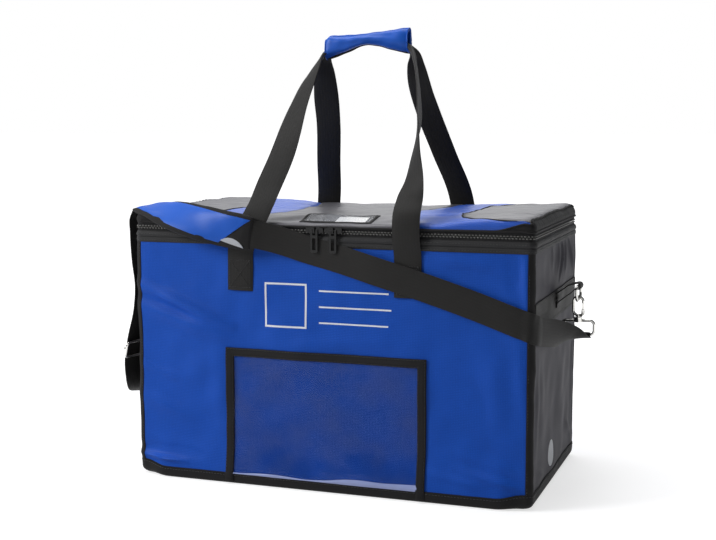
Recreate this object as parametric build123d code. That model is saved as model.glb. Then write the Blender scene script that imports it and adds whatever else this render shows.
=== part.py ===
"""Soft-sided insulated specimen transport box with a zipped lid, two carrying handles and a shoulder strap.

The origin is the centre of the base's underside. The front faces -Y, +X is to the right and +Z is up.
Every length is in millimetres.
"""
from build123d import *
from math import cos, radians, sin
import os

# Overall body
body_width = 576.0            # X, over the wall panels
body_depth = 302.0            # Y, over the wall panels
wall_top = 341.0              # top of the coloured wall panels
corner_radius = 9.0           # vertical corners of the wall
base_edge_radius = 10.0       # rounded lower edge of the base tray
base_trim_height = 22.0       # black trim round the foot of the walls
rim_height = 16.0             # black band above the wall panels

# Sheet thicknesses
panel_thickness = 1.2
trim_thickness = 1.6
liner_thickness = 1.0
board_thickness = 3.0
foam_thickness = 12.0
base_foam_thickness = 12.0
rim_cap_thickness = 1.0

# Clearances
fit = 0.3                     # running gap between pieces that move past each other
seam_gap = 0.2                # gap between sewn layers that only lie against each other

# Zip
tape_thickness = 1.0
tape_show = 3.2               # width of tape that shows beside each row of teeth
bead_height = 1.8             # one row of teeth, across the zip
bead_thickness = 3.0
bead_gap = 1.0                # between the two rows
slider_length = 25.0
slider_plate = 2.4
slider_lip = 0.8              # inner plate of the slider
slider_bridge_height = 3.3
slider_gap = 2.0              # between the noses of the two closed sliders
slider_meeting_x = 1.0
puller_length = 31.0
puller_width = 10.5
puller_thickness = 1.6

# Lid
lid_height = 11.0             # from the zip tape to the top of the lid
lid_edge_radius = 9.0
lid_liner_drop = 9.0          # how far the lid's pad reaches below the lid's lower edge
lid_pad_inset = 4.5           # pad inside the zip tapes
lid_wing_reach = 187.0        # how far each wing reaches in from the lid's end, along the middle
lid_wing_radius = 420.0       # curve of the seam between a wing and the middle panel
lid_end_reach = 119.0         # how far each end colour reaches in from the lid's end
piping_diameter = 3.2
card_width = 104.0
card_depth = 42.0
card_frame = 6.0
card_x = 26.0
card_inset = 4.0              # from the flat of the lid's front edge
card_thickness = 1.2
window_thickness = 0.5

# Front document pocket
pocket_width = 293.0
pocket_top = 195.0
pocket_binding = 8.0
pocket_thickness = 2.4
pocket_x = -1.5

# Handles
webbing_width = 38.0
webbing_thickness = 2.2
leg_x = 118.0                 # sewn legs, left and right of the middle
patch_length = 63.0           # sewn to the wall
patch_drop = 3.0              # from the wall's top down to where the webbing leaves the wall
fold_rise = 21.0              # from the wall's top up to the line about which a handle folds
fold_standoff = 10.3          # the fold line in front of the wall
fold_skin = 0.15              # the webbing's outer face behind the fold line
stub_length = 18.0            # upright webbing above the fold line
grip_height = 618.0
grip_x = 10.0                 # the grip sits a little off centre
grip_length = 116.0
grip_depth = 26.0
grip_tall = 36.0
grip_split = 3.0              # where the grip's flap meets its wrap, behind the middle
folded_width = 20.0           # the webbing is folded double inside the grip
folded_thickness = 4.4
folded_y = 3.4                # each handle's folded webbing, from the middle

# Side webbing and shoulder strap fittings
band_width = 39.0
band_thickness = 2.0
band_centre = 254.5
tab_width = 22.0
tab_thickness = 4.4
tab_reach = 30.0              # from the side band out to the ring's bar
ring_bar_height = 281.0
ring_wire = 4.0
ring_width = 34.0
ring_drop = 20.0
hook_wire = 4.0
hook_half_width = 6.6
hook_play = 0.5               # hook over the ring at rest
hook_height = 26.0
gate_rise = 6.5               # from the middle of the hook's lower bend up to the gate's pivot
gate_length = 12.4
gate_size = 3.6
stem_diameter = 5.0
collar_diameter = 12.0
collar_height = 7.0
collar_plate = 2.4            # top of the collar, which holds the stem's head in
head_diameter = 7.6
head_height = 1.6
base_wire = 4.0
base_width = 44.0
base_drop = 20.0
base_turn_right = 84.0        # degrees that the strap has turned the right base about its stem
base_turn_left = 86.0

# Shoulder strap
strap_width = 38.0
strap_thickness = 2.0
pad_width = 54.0
pad_thickness = 8.0
glide_length = 26.0
glide_bar = 3.2
glide_rail = 4.0

# Places worked out from the sizes above
half_width = body_width / 2
half_depth = body_depth / 2
rim_top = wall_top + rim_height
foam_top = rim_top - rim_cap_thickness
lower_bead_bottom = rim_top + tape_show
lower_bead_top = lower_bead_bottom + bead_height
upper_bead_bottom = lower_bead_top + bead_gap
upper_bead_top = upper_bead_bottom + bead_height
lid_bottom = upper_bead_top + tape_show
lid_top = lid_bottom + lid_height
lid_back = half_depth - panel_thickness - fit
hinge_height = lid_top - lid_edge_radius
board_top = trim_thickness + board_thickness
base_foam_top = board_top + base_foam_thickness
foam_outer_x = half_width - panel_thickness
foam_outer_y = half_depth - panel_thickness
foam_inner_x = foam_outer_x - foam_thickness
foam_inner_y = foam_outer_y - foam_thickness
patch_top = wall_top - patch_drop
patch_bottom = patch_top - patch_length
fold_height = wall_top + fold_rise
fold_y = half_depth + fold_standoff
webbing_y = fold_y - fold_skin - webbing_thickness / 2
band_face = half_width + band_thickness
ring_x = band_face + tab_reach
hook_top = ring_bar_height - ring_drop + ring_wire / 2 + hook_wire / 2 + hook_play
hook_bottom = hook_top - hook_height
collar_top = hook_bottom - hook_wire / 2 - fit
base_ring_top = collar_top - collar_height + base_wire / 2
head_top = collar_top - collar_plate - fit
base_ring_bottom = base_ring_top - base_drop


def slab(x, y, z):
    """A block between two limits on each axis."""
    sizes = [high - low for low, high in (x, y, z)]
    middle = [(high + low) / 2 for low, high in (x, y, z)]
    return Pos(*middle) * Box(*sizes)


def outline(width, depth, radius, z=0.0, y=0.0):
    """A rounded rectangle seen from above."""
    return Pos(0, y, z) * RectangleRounded(width, depth, radius)


def ring_wall(width, depth, radius, wall, z_low, z_high):
    """An upright wall round a rounded rectangle."""
    outer = outline(width, depth, radius, z_low)
    inner = outline(width - 2 * wall, depth - 2 * wall, radius - wall, z_low)
    return extrude(outer - inner, z_high - z_low)


def strip(stations):
    """A flat strap lofted through stations of centre, direction across, width and thickness."""
    centres = [Vector(*station[0]) for station in stations]
    sections = []
    for index, (_, across, width, thickness) in enumerate(stations):
        ahead = centres[min(index + 1, len(centres) - 1)]
        behind = centres[max(index - 1, 0)]
        run = (ahead - behind).normalized()
        side = Vector(*across)
        side = (side - run * side.dot(run)).normalized()
        plane = Plane(origin=centres[index], x_dir=side, z_dir=run)
        sections.append(plane * Rectangle(width, thickness))
    return loft(sections, ruled=True)


def wire_loop(width, height, top_radius, bottom_radius, diameter):
    """A closed wire loop in the YZ plane, with the middle of its top bar at the origin."""
    half = width / 2
    corners = [(0, -half, 0), (0, half, 0), (0, half, -height), (0, -half, -height)]
    radii = [top_radius, top_radius, bottom_radius, bottom_radius]
    path = FilletPolyline(*corners, radius=radii, close=True)
    start = Plane(origin=path @ 0, z_dir=path % 0)
    return sweep(start * Circle(diameter / 2), path=path)


def lerp(start, end, share):
    return start + (end - start) * share


# Body walls and base

def base_tray():
    width = body_width + 2 * trim_thickness
    depth = body_depth + 2 * trim_thickness
    outer = extrude(outline(width, depth, corner_radius + trim_thickness), base_trim_height)
    outer = fillet(outer.faces().sort_by(Axis.Z)[0].edges(), base_edge_radius)
    hollow = extrude(outline(body_width, body_depth, corner_radius, trim_thickness), base_trim_height)
    hollow = fillet(hollow.faces().sort_by(Axis.Z)[0].edges(), base_edge_radius - trim_thickness)
    return outer - hollow


def base_board():
    inset = base_edge_radius
    return extrude(outline(body_width - 2 * inset, body_depth - 2 * inset, corner_radius, trim_thickness),
                   board_thickness)


def base_foam():
    inset = base_edge_radius / 2
    return extrude(outline(body_width - 2 * inset, body_depth - 2 * inset, corner_radius, board_top),
                   base_foam_thickness)


def long_panel(face_y, inward):
    """Front or back wall panel, between the corner bindings."""
    reach = half_width - corner_radius
    limits = sorted((face_y, face_y + inward * panel_thickness))
    return slab((-reach, reach), limits, (base_edge_radius + trim_thickness, wall_top))


def side_panel(side):
    reach = half_depth - corner_radius
    limits = sorted((side * half_width, side * foam_outer_x))
    return slab(limits, (-reach, reach), (base_edge_radius + trim_thickness, wall_top))


def corner_bindings():
    """Four quarter-round strips that cover the upright seams."""
    proud = trim_thickness / 2
    wall = ring_wall(body_width + 2 * proud, body_depth + 2 * proud, corner_radius + proud,
                     trim_thickness, base_trim_height, wall_top)
    heights = (0, rim_top)
    wall -= slab((-half_width + corner_radius, half_width - corner_radius), (-body_depth, body_depth), heights)
    wall -= slab((-body_width, body_width), (-half_depth + corner_radius, half_depth - corner_radius), heights)
    return wall


def rim_band():
    """Band above the panels, with a cap that covers the top of the foam and the liner."""
    proud = trim_thickness / 2
    width = body_width + 2 * proud
    depth = body_depth + 2 * proud
    wall = ring_wall(width, depth, corner_radius + proud, trim_thickness, wall_top, foam_top)
    cap = outline(width, depth, corner_radius + proud, foam_top)
    mouth = outline(2 * (foam_inner_x - liner_thickness), 2 * (foam_inner_y - liner_thickness),
                    corner_radius, foam_top)
    return wall + extrude(cap - mouth, rim_cap_thickness)


def long_foam(side):
    limits = sorted((side * foam_outer_y, side * foam_inner_y))
    reach = half_width - corner_radius
    return slab((-reach, reach), limits, (base_foam_top, foam_top))


def side_foam(side):
    limits = sorted((side * foam_outer_x, side * foam_inner_x))
    return slab(limits, (-foam_inner_y, foam_inner_y), (base_foam_top, foam_top))


def inner_liner():
    """Open-topped wipe-clean liner."""
    width = 2 * foam_inner_x
    depth = 2 * foam_inner_y
    height = foam_top - base_foam_top
    outer = extrude(outline(width, depth, corner_radius, base_foam_top), height)
    hollow = extrude(outline(width - 2 * liner_thickness, depth - 2 * liner_thickness,
                             corner_radius - liner_thickness, base_foam_top + liner_thickness), height)
    return outer - hollow


def hinge_strip():
    """Fabric at the back that carries the lid."""
    reach = half_width - corner_radius
    return slab((-reach, reach), (half_depth - panel_thickness, half_depth), (rim_top, hinge_height - fit))


# Zip

def zip_run(wall, outward, z_low, z_high):
    """Part of the zip, round the front and both sides as far as the back corners."""
    width = body_width + 2 * outward
    depth = body_depth + 2 * outward
    run = ring_wall(width, depth, corner_radius + outward, wall, z_low, z_high)
    back = (half_depth - corner_radius, body_depth)
    return run - slab((-body_width, body_width), back, (0, lid_top))


def lower_zip_tape():
    return zip_run(tape_thickness, -tape_thickness / 10, rim_top, lower_bead_bottom)


def lower_zip_teeth():
    return zip_run(bead_thickness, bead_thickness * 0.4, lower_bead_bottom, lower_bead_top)


def upper_zip_teeth():
    return zip_run(bead_thickness, bead_thickness * 0.4, upper_bead_bottom, upper_bead_top)


def upper_zip_tape():
    return zip_run(tape_thickness, -tape_thickness / 10, upper_bead_top, lid_bottom)


def slider_centre(side):
    return slider_meeting_x + side * (slider_gap + slider_length) / 2


bead_outer = half_depth + bead_thickness * 0.4
bead_inner = bead_outer - bead_thickness
slider_back = -(bead_outer + fit)
slider_front = slider_back - slider_plate
zip_middle = (lower_bead_top + upper_bead_bottom) / 2
slider_tall = 2 * bead_height + bead_gap + 4.4
crossbar_y = slider_front - slider_bridge_height / 2 + puller_thickness / 4


def zip_slider(side):
    """Outer plate, inner plate and the thin wedge that joins them between the rows of teeth."""
    centre = slider_centre(side)
    nose = slider_length / 2
    tall = slider_tall / 2
    profile = Polyline((-side * nose, tall * 0.55), (-side * nose * 0.45, tall), (side * nose, tall * 0.8),
                       (side * nose, -tall * 0.8), (-side * nose * 0.45, -tall), (-side * nose, -tall * 0.55),
                       close=True)
    face = Plane(origin=(centre, slider_back, zip_middle), x_dir=(1, 0, 0), z_dir=(0, -1, 0)) * make_face(profile)
    plate = extrude(face, slider_plate)
    lip_y = -(bead_inner - fit)
    lip = slab((centre - nose * 0.6, centre + nose * 0.6), (lip_y, lip_y + slider_lip),
               (rim_top + fit, upper_bead_top))
    wedge = slab((centre - nose * 0.25, centre + nose * 0.25), (slider_back, lip_y),
                 (zip_middle - bead_gap / 4, zip_middle + bead_gap / 4))
    arch_wall = 0.8
    arch = slab((centre - 1.2, centre + 1.2), (slider_front - slider_bridge_height, slider_front),
                (zip_middle - 3.6, zip_middle + 3.6))
    window = slab((centre - 2, centre + 2), (slider_front - slider_bridge_height + arch_wall, slider_front),
                  (zip_middle - 3.6 + arch_wall, zip_middle + 3.6 - arch_wall))
    return plate + lip + wedge + (arch - window)


def zip_puller(side):
    """Tab that hangs from a crossbar in the slider's arch."""
    centre = slider_centre(side)
    half = puller_thickness / 2
    faces = (crossbar_y - half, crossbar_y + half)
    bar = Pos(centre, crossbar_y, zip_middle) * Rot(0, 90, 0) * Cylinder(half, puller_width)
    frame = slab((centre - puller_width / 2, centre + puller_width / 2), faces,
                 (zip_middle - puller_length, zip_middle))
    eye = slab((centre - 2.2, centre + 2.2), (faces[0] - 1, faces[1] + 1), (zip_middle - 7, zip_middle))
    slot = slab((centre - 2.4, centre + 2.4), (faces[0] - 1, faces[1] + 1),
                (zip_middle - puller_length + 4, zip_middle - 11))
    frame = frame - eye - slot
    foot = frame.edges().filter_by(Axis.Y).group_by(Axis.Z)[0]
    return fillet(foot, puller_width * 0.3) + bar


# Lid

lid_flat_x = half_width - lid_edge_radius
lid_flat_front = -half_depth + lid_edge_radius
lid_flat_back = lid_back - lid_edge_radius
lid_middle_y = (lid_back - half_depth) / 2
lid_depth = lid_back + half_depth


def lid_border():
    """Rounded edge of the lid, all round, outside the flat coloured panels."""
    outer = extrude(outline(body_width, lid_depth, corner_radius, lid_bottom, lid_middle_y), lid_height)
    outer = fillet(outer.faces().sort_by(Axis.Z)[-1].edges(), lid_edge_radius - seam_gap)
    hollow = extrude(outline(body_width - 2 * panel_thickness, lid_depth - 2 * panel_thickness,
                             corner_radius - panel_thickness, lid_bottom, lid_middle_y),
                     lid_height - panel_thickness)
    hollow = fillet(hollow.faces().sort_by(Axis.Z)[-1].edges(), lid_edge_radius - panel_thickness - seam_gap)
    middle = slab((-lid_flat_x, lid_flat_x), (lid_flat_front, lid_flat_back), (lid_bottom, lid_top + 1))
    return outer - hollow - middle


def lid_sheet():
    return slab((-lid_flat_x, lid_flat_x), (lid_flat_front, lid_flat_back), (lid_top - panel_thickness, lid_top))


def lid_end_cut(side, grow=0.0):
    """Half oval at one end of the lid."""
    oval = Ellipse(lid_end_reach + grow, (lid_flat_back - lid_flat_front) / 2 + grow)
    return extrude(Pos(side * lid_flat_x, lid_middle_y, lid_top - panel_thickness - 1) * oval,
                   panel_thickness + 2)


def lid_wing_cut(side, grow=0.0):
    """Disc whose edge is the curved seam between a wing and the middle panel."""
    centre_x = side * (lid_flat_x - lid_wing_reach + lid_wing_radius)
    disc = Circle(lid_wing_radius + grow)
    return extrude(Pos(centre_x, lid_middle_y, lid_top - panel_thickness - 1) * disc, panel_thickness + 2)


def lid_centre_panel():
    return lid_sheet() - lid_wing_cut(-1, seam_gap / 10) - lid_wing_cut(1, seam_gap / 10)


def lid_end_panels():
    sheet = lid_sheet()
    return Compound(children=[Part() + (sheet & lid_end_cut(side)) for side in (-1, 1)])


def lid_wing_panels():
    wings = [(lid_sheet() & lid_wing_cut(side)) - lid_end_cut(side, seam_gap / 10) for side in (-1, 1)]
    return Compound(children=[Part() + wing for wing in wings])


def lid_pad_block(z_low, z_high):
    inset = lid_pad_inset
    return slab((-half_width + inset, half_width - inset), (-half_depth + inset, lid_back - inset), (z_low, z_high))


def lid_foam():
    upright = lid_pad_block(lid_bottom - lid_liner_drop + liner_thickness, lid_top - lid_edge_radius)
    upper = slab((-lid_flat_x, lid_flat_x), (lid_flat_front, lid_flat_back),
                 (lid_top - lid_edge_radius, lid_top - panel_thickness))
    return upright + upper


def lid_liner():
    low = lid_bottom - lid_liner_drop
    return lid_pad_block(low, low + liner_thickness)


def lid_piping():
    """Round cord in the seam between the lid and the zip, round the front and both sides."""
    out = piping_diameter / 2
    path = outline(body_width + 2 * out, lid_depth + 2 * out, corner_radius + out,
                   lid_bottom + out, lid_middle_y).wire()
    start = Plane(origin=path @ 0, z_dir=path % 0)
    ring = sweep(start * Circle(out), path=path)
    return ring - slab((-body_width, body_width), (lid_flat_back, body_depth), (0, lid_top))


card_y = (lid_flat_front + card_inset, lid_flat_front + card_inset + card_depth)
card_limits = (card_x - card_width / 2, card_x + card_width / 2)


def card_holder_frame():
    plate = slab(card_limits, card_y, (lid_top, lid_top + card_thickness))
    inner = slab((card_limits[0] + card_frame, card_limits[1] - card_frame),
                 (card_y[0] + card_frame, card_y[1] - card_frame), (lid_top, lid_top + card_thickness))
    return plate - inner


def card_window():
    return slab((card_limits[0] + card_frame, card_limits[1] - card_frame),
                (card_y[0] + card_frame, card_y[1] - card_frame), (lid_top, lid_top + window_thickness))


# Front pocket

pocket_limits = (pocket_x - pocket_width / 2, pocket_x + pocket_width / 2)
pocket_face = -half_depth - pocket_thickness


def pocket_binding_frame():
    """Binding round the pocket; its top edge stands off the wall, so that papers go in behind it."""
    frame = slab(pocket_limits, (pocket_face, -half_depth), (base_trim_height, pocket_top))
    frame -= slab((pocket_limits[0] + pocket_binding, pocket_limits[1] - pocket_binding),
                  (pocket_face, -half_depth), (base_trim_height + pocket_binding, pocket_top - pocket_binding))
    mouth = slab((pocket_limits[0] + pocket_binding, pocket_limits[1] - pocket_binding),
                 (pocket_face + pocket_thickness / 2, -half_depth), (pocket_top - pocket_binding, pocket_top))
    return frame - mouth


def pocket_window():
    return slab((pocket_limits[0] + pocket_binding, pocket_limits[1] - pocket_binding),
                (pocket_face + window_thickness, pocket_face + 2 * window_thickness),
                (base_trim_height + pocket_binding, pocket_top - pocket_binding))


# Handles

def sewn_end(x):
    """One length of webbing sewn to the front wall, up to the handle's fold line."""
    flat_y = -half_depth - seam_gap - webbing_thickness / 2
    across = (1, 0, 0)
    size = (webbing_width, webbing_thickness)
    return strip([((x, flat_y, patch_bottom), across, *size),
                  ((x, flat_y, patch_top), across, *size),
                  ((x, -webbing_y, fold_height - webbing_thickness), across, *size),
                  ((x, -webbing_y, fold_height - fit), across, *size)])


# Each handle leg as shares of the rise to the grip and of the way in to it, with the webbing's width and
# thickness as shares of the way from flat to folded.
leg_shape = [(0.00, 0.00, 0.0, 0.0), (0.10, 0.10, 0.0, 0.0), (0.30, 0.26, 0.0, 0.0), (0.58, 0.48, 0.35, 0.2),
             (0.80, 0.70, 0.8, 0.7), (0.92, 0.88, 1.0, 1.0)]


def front_handle():
    """Webbing from one fold line, up through the grip and down to the other."""
    bend = fold_height + stub_length
    half = grip_length / 2 + 6
    stations = []
    for side in (-1, 1):
        leg = [((side * leg_x, -webbing_y, fold_height + fit), (side, 0, 0), webbing_width, webbing_thickness)]
        for rise, inward, fold, thicken in leg_shape:
            place = (lerp(side * leg_x, grip_x + side * half, inward), lerp(-webbing_y, -folded_y, rise),
                     lerp(bend, grip_height, rise))
            turn = max(0.0, rise - 0.7) / 0.3
            across = (side * cos(radians(90 * turn)), 0, sin(radians(90 * turn)))
            leg.append((place, across, lerp(webbing_width, folded_width, fold),
                        lerp(webbing_thickness, folded_thickness, thicken)))
        end = (grip_x + side * (half - 4), -folded_y, grip_height)
        leg.append((end, (0, 0, 1), folded_width, folded_thickness))
        stations += leg if side < 0 else leg[::-1]
    return strip(stations)


def grip_part(low, high):
    """The padded grip between two planes across Y, with the tunnel for the folded webbing."""
    plane = Plane(origin=(grip_x - grip_length / 2, 0, grip_height), x_dir=(0, 1, 0), z_dir=(1, 0, 0))
    tunnel = (2 * folded_y + folded_thickness + 2 * fit, folded_width + 4 * fit)
    skin = RectangleRounded(grip_depth, grip_tall, grip_depth * 0.45)
    tube = extrude(plane * (skin - Rectangle(*tunnel)), grip_length)
    return tube & slab((-body_width, body_width), (low, high), (0, 2 * grip_height))


def grip_wrap():
    return grip_part(-grip_depth, grip_split - fit / 2)


def grip_flap():
    return grip_part(grip_split + fit / 2, grip_depth)


# Side fittings, made for the right side and mirrored for the left

def side_band(side):
    limits = sorted((side * half_width, side * band_face))
    reach = half_depth - corner_radius
    return slab(limits, (-reach, reach), (band_centre - band_width / 2, band_centre + band_width / 2))


def ring_tab():
    """Webbing loop that carries the ring's bar out from the side band."""
    outer = ring_wire / 2 + fit + tab_thickness / 2
    root_z = band_centre + band_width / 2 - outer - 2
    tongue = Polyline((band_face, root_z - tab_thickness / 2), (ring_x, ring_bar_height - outer),
                      (ring_x, ring_bar_height + outer * 0.2), (band_face, root_z + tab_thickness / 2), close=True)
    profile = make_face(Plane.XZ * tongue) + Plane.XZ * Pos(ring_x, ring_bar_height) * Circle(outer)
    profile -= Plane.XZ * Pos(ring_x, ring_bar_height) * Circle(ring_wire / 2 + fit)
    return extrude(profile, tab_width / 2, both=True)


def d_ring():
    return Pos(ring_x, 0, ring_bar_height) * wire_loop(ring_width, ring_drop, ring_wire, ring_drop * 0.48, ring_wire)


gate_pivot = Vector(ring_x + hook_half_width, 0, hook_bottom + gate_rise)


def snap_hook():
    """Bent wire hook with its fork for the gate and the stem that turns in the base."""
    half = hook_half_width
    mouth_top = gate_pivot.Z + gate_length - gate_size / 2 + fit
    points = [(half, 0, mouth_top - hook_top), (half, 0, 0), (-half, 0, 0), (-half, 0, -hook_height),
              (half, 0, -hook_height), (half, 0, gate_pivot.Z - gate_size / 2 - fit - hook_top)]
    bend = half * 0.97
    path = Pos(ring_x, 0, hook_top) * FilletPolyline(*points, radius=[bend, bend, bend, bend * 0.6])
    start = Plane(origin=path @ 0, z_dir=path % 0)
    body = sweep(start * Circle(hook_wire / 2), path=path)
    ear = 1.2
    for turn in (-1, 1):
        limits = sorted((turn * (gate_size / 2 + fit), turn * (gate_size / 2 + fit + ear)))
        body += slab((gate_pivot.X - 2, gate_pivot.X + 2), limits, (gate_pivot.Z - 5, gate_pivot.Z + 2))
    body += Pos(gate_pivot) * Rot(90, 0, 0) * Cylinder(0.8, gate_size + 2 * fit + 2 * ear)
    body += Pos(ring_x, 0, (hook_bottom + head_top) / 2) * Cylinder(stem_diameter / 2, hook_bottom - head_top)
    body += Pos(ring_x, 0, head_top - head_height / 2) * Cylinder(head_diameter / 2, head_height)
    return body


def hook_gate():
    """Sprung bar that closes the hook's mouth."""
    half = gate_size / 2
    plane = Plane(origin=(gate_pivot.X, half, gate_pivot.Z), x_dir=(1, 0, 0), z_dir=(0, -1, 0))
    bar = Pos(0, (gate_length - gate_size) / 2) * RectangleRounded(gate_size, gate_length, half * 0.98)
    return extrude(plane * (bar - Circle(0.8 + fit / 2)), gate_size)


def swivel_base(turn):
    """Collar round the hook's stem, with the loop that the strap is sewn through."""
    collar = Pos(ring_x, 0, collar_top - collar_height / 2) * Cylinder(collar_diameter / 2, collar_height)
    loop = wire_loop(base_width, base_drop, base_wire * 1.5, base_wire * 1.5, base_wire)
    base = collar + Pos(ring_x, 0, base_ring_top) * Rot(0, 0, -turn) * loop
    bore = Pos(ring_x, 0, collar_top) * Cylinder(stem_diameter / 2 + fit, 2 * collar_height)
    pocket_height = collar_height - collar_plate
    pocket = Pos(ring_x, 0, collar_top - collar_plate - pocket_height / 2)
    return base - bore - pocket * Cylinder(head_diameter / 2 + fit, pocket_height)


# Shoulder strap: stations from the right base ring, over the front and the front left corner, to the left ring

strap_front = half_depth + webbing_thickness + seam_gap + strap_thickness / 2 + 1.2
strap_low = -crossbar_y - puller_thickness / 2 - fit - strap_thickness / 2    # behind the zip pullers
strap_side = band_face + strap_thickness / 2 + 2
base_bar_low = base_ring_bottom - base_wire / 2 - fit - strap_thickness / 2
pad_front = fold_y + pad_thickness / 2 + 1.5
pad_high = lid_top + pad_thickness / 2 + 3.5

right_bar = (sin(radians(base_turn_right)), cos(radians(base_turn_right)), 0)
left_bar = (sin(radians(base_turn_left)), -cos(radians(base_turn_left)), 0)

strap_right = [((ring_x, -2, base_bar_low), right_bar),
               ((ring_x - 3, -26, base_bar_low - 3), (1, 0, 0.15)),
               ((ring_x - 9, -58, base_bar_low + 4), (0.75, 0, 0.66)),
               ((strap_side + 9, -88, base_bar_low + 16), (0.3, 0, 0.95)),
               ((strap_side + 3, -118, base_bar_low + 26), (0.05, 0, 1)),
               ((strap_side - 0.5, -half_depth + 6, base_bar_low + 32), (0, 0, 1)),
               ((half_width - 0.5, -half_depth - 2.5, base_bar_low + 35), (0, 0, 1)),
               ((half_width - 11, -strap_front, base_bar_low + 38), (0, 0, 1)),
               ((half_width - 70, -strap_front, fold_height - 95), (0, 0, 1)),
               ((leg_x + 13, -strap_front, fold_height - 68), (0, 0, 1)),
               ((leg_x - 48, -strap_front, fold_height - 51), (0, 0, 1)),
               ((28, -strap_low, fold_height - 39), (0, 0, 1)),
               ((-27, -strap_low, fold_height - 25), (0, 0, 1)),
               ((-leg_x + 56, -strap_front - 2, fold_height - 15), (0, 0, 1)),
               ((-leg_x + 32, -pad_front + 4, fold_height - 9), (0, 0, 1))]
pad_line = [((-leg_x + 18, -pad_front, fold_height - 6), (0, 0, 1)),
            ((-leg_x - 22, -pad_front, fold_height + 1), (0, 0.05, 1)),
            ((-half_width + 105, -half_depth - 12.5, lid_top - 6.5), (0, 0.45, 0.89)),
            ((-half_width + 66, -half_depth - 3.5, lid_top + 2), (0, 0.72, 0.69)),
            ((-half_width + 32, -half_depth + 12, pad_high), (0, 0.93, 0.30)),
            ((-half_width + 2, -half_depth + 27, pad_high), (0, 1, 0.06))]
strap_left = [((-half_width - 10, -half_depth + 29, pad_high - 3), (0, 1, 0)),
              ((-half_width - 16, -half_depth + 29, pad_high - 12), (0, 1, 0)),
              ((-half_width - 16, -half_depth + 28, lid_top - 29), (0, 1, 0)),
              ((-half_width - 11, -half_depth + 24, lid_top - 69), (0, 1, 0)),
              ((-strap_side - 0.5, -half_depth + 22, band_centre + 20), (0, 1, 0)),
              ((-strap_side - 3, -half_depth + 21, band_centre - 15), (0, 1, 0))]
glide_across = (0.15, 1, 0)
glide_place = Vector(-half_width - 22, -half_depth + 21, band_centre - 75)
glide_run = Vector(0.22, 0, 1).normalized()
glide_reach = glide_length / 2 + 3
glide_line = [(tuple(glide_place + glide_run * glide_reach), glide_across),
              (tuple(glide_place - glide_run * glide_reach), glide_across)]
strap_loop = [((-half_width - 31, -half_depth + 29, base_bar_low - 68), (0.5, 0.9, 0)),
              ((-half_width - 33, -half_depth + 48, base_bar_low - 88), (0.9, 0.5, 0)),
              ((-ring_x, -half_depth + 82, base_bar_low - 99), (1, 0.1, 0)),
              ((-ring_x, -34, base_bar_low - 83), (1, 0, 0)),
              ((-ring_x, -10, base_bar_low - 43), (1, 0, 0)),
              ((-ring_x, -3.3, base_ring_bottom - 8), left_bar),
              ((-ring_x, -3.3, base_ring_bottom), left_bar)]


def sized(line, width, thickness):
    return [(*station, width, thickness) for station in line]


def end_loop(side, turn):
    """The strap's end, wrapped round the lower bar of a base ring."""
    gap = base_wire / 2 + fit * 0.9
    plane = Plane(origin=(side * ring_x, 0, base_ring_bottom), x_dir=(0, 0, 1),
                  z_dir=(side * sin(radians(turn)), cos(radians(turn)), 0))
    ring = Circle(gap + strap_thickness) - Circle(gap)
    return extrude(plane * ring, (strap_width - 4) / 2, both=True)


def shoulder_strap():
    line = strap_right + pad_line + strap_left + glide_line + strap_loop
    strap = strip(sized(line[::-1], strap_width, strap_thickness))
    return strap + end_loop(1, base_turn_right) + end_loop(-1, base_turn_left)


def shoulder_pad():
    """Padded sleeve on the strap, with the tunnel that the strap runs through."""
    before = strap_right[-1:]
    after = strap_left[:1]
    tunnel = strip(sized(before + pad_line + after, strap_width + 2 * fit, strap_thickness + 2 * fit))
    return strip(sized(pad_line, pad_width, pad_thickness)) - tunnel


def strap_adjuster():
    """Three-bar slide: two bars in front of the strap and one behind it."""
    across = Vector(*glide_across)
    across = (across - glide_run * across.dot(glide_run)).normalized()
    plane = Plane(origin=glide_place, x_dir=across, z_dir=glide_run)
    rail_x = (strap_width + glide_rail) / 2 + 2 * fit
    offset = strap_thickness / 2 + glide_bar / 2 + 2 * fit
    rails = [Pos(turn * rail_x, 0, 0) * Box(glide_rail, 2 * offset, glide_length) for turn in (-1, 1)]
    bars = []
    for level, depth in ((glide_length * 0.42, offset), (-glide_length * 0.42, offset), (0, -offset)):
        bars.append(Pos(0, depth, level) * Rot(0, 90, 0) * Cylinder(glide_bar / 2, 2 * rail_x))
    solid = rails[0] + rails[1] + bars[0] + bars[1] + bars[2]
    return plane.location * solid


def mirrored(shape):
    return mirror(shape, Plane.YZ)


def pair(make):
    return Compound(children=[Part() + make(x) for x in (-leg_x, leg_x)])


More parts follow.
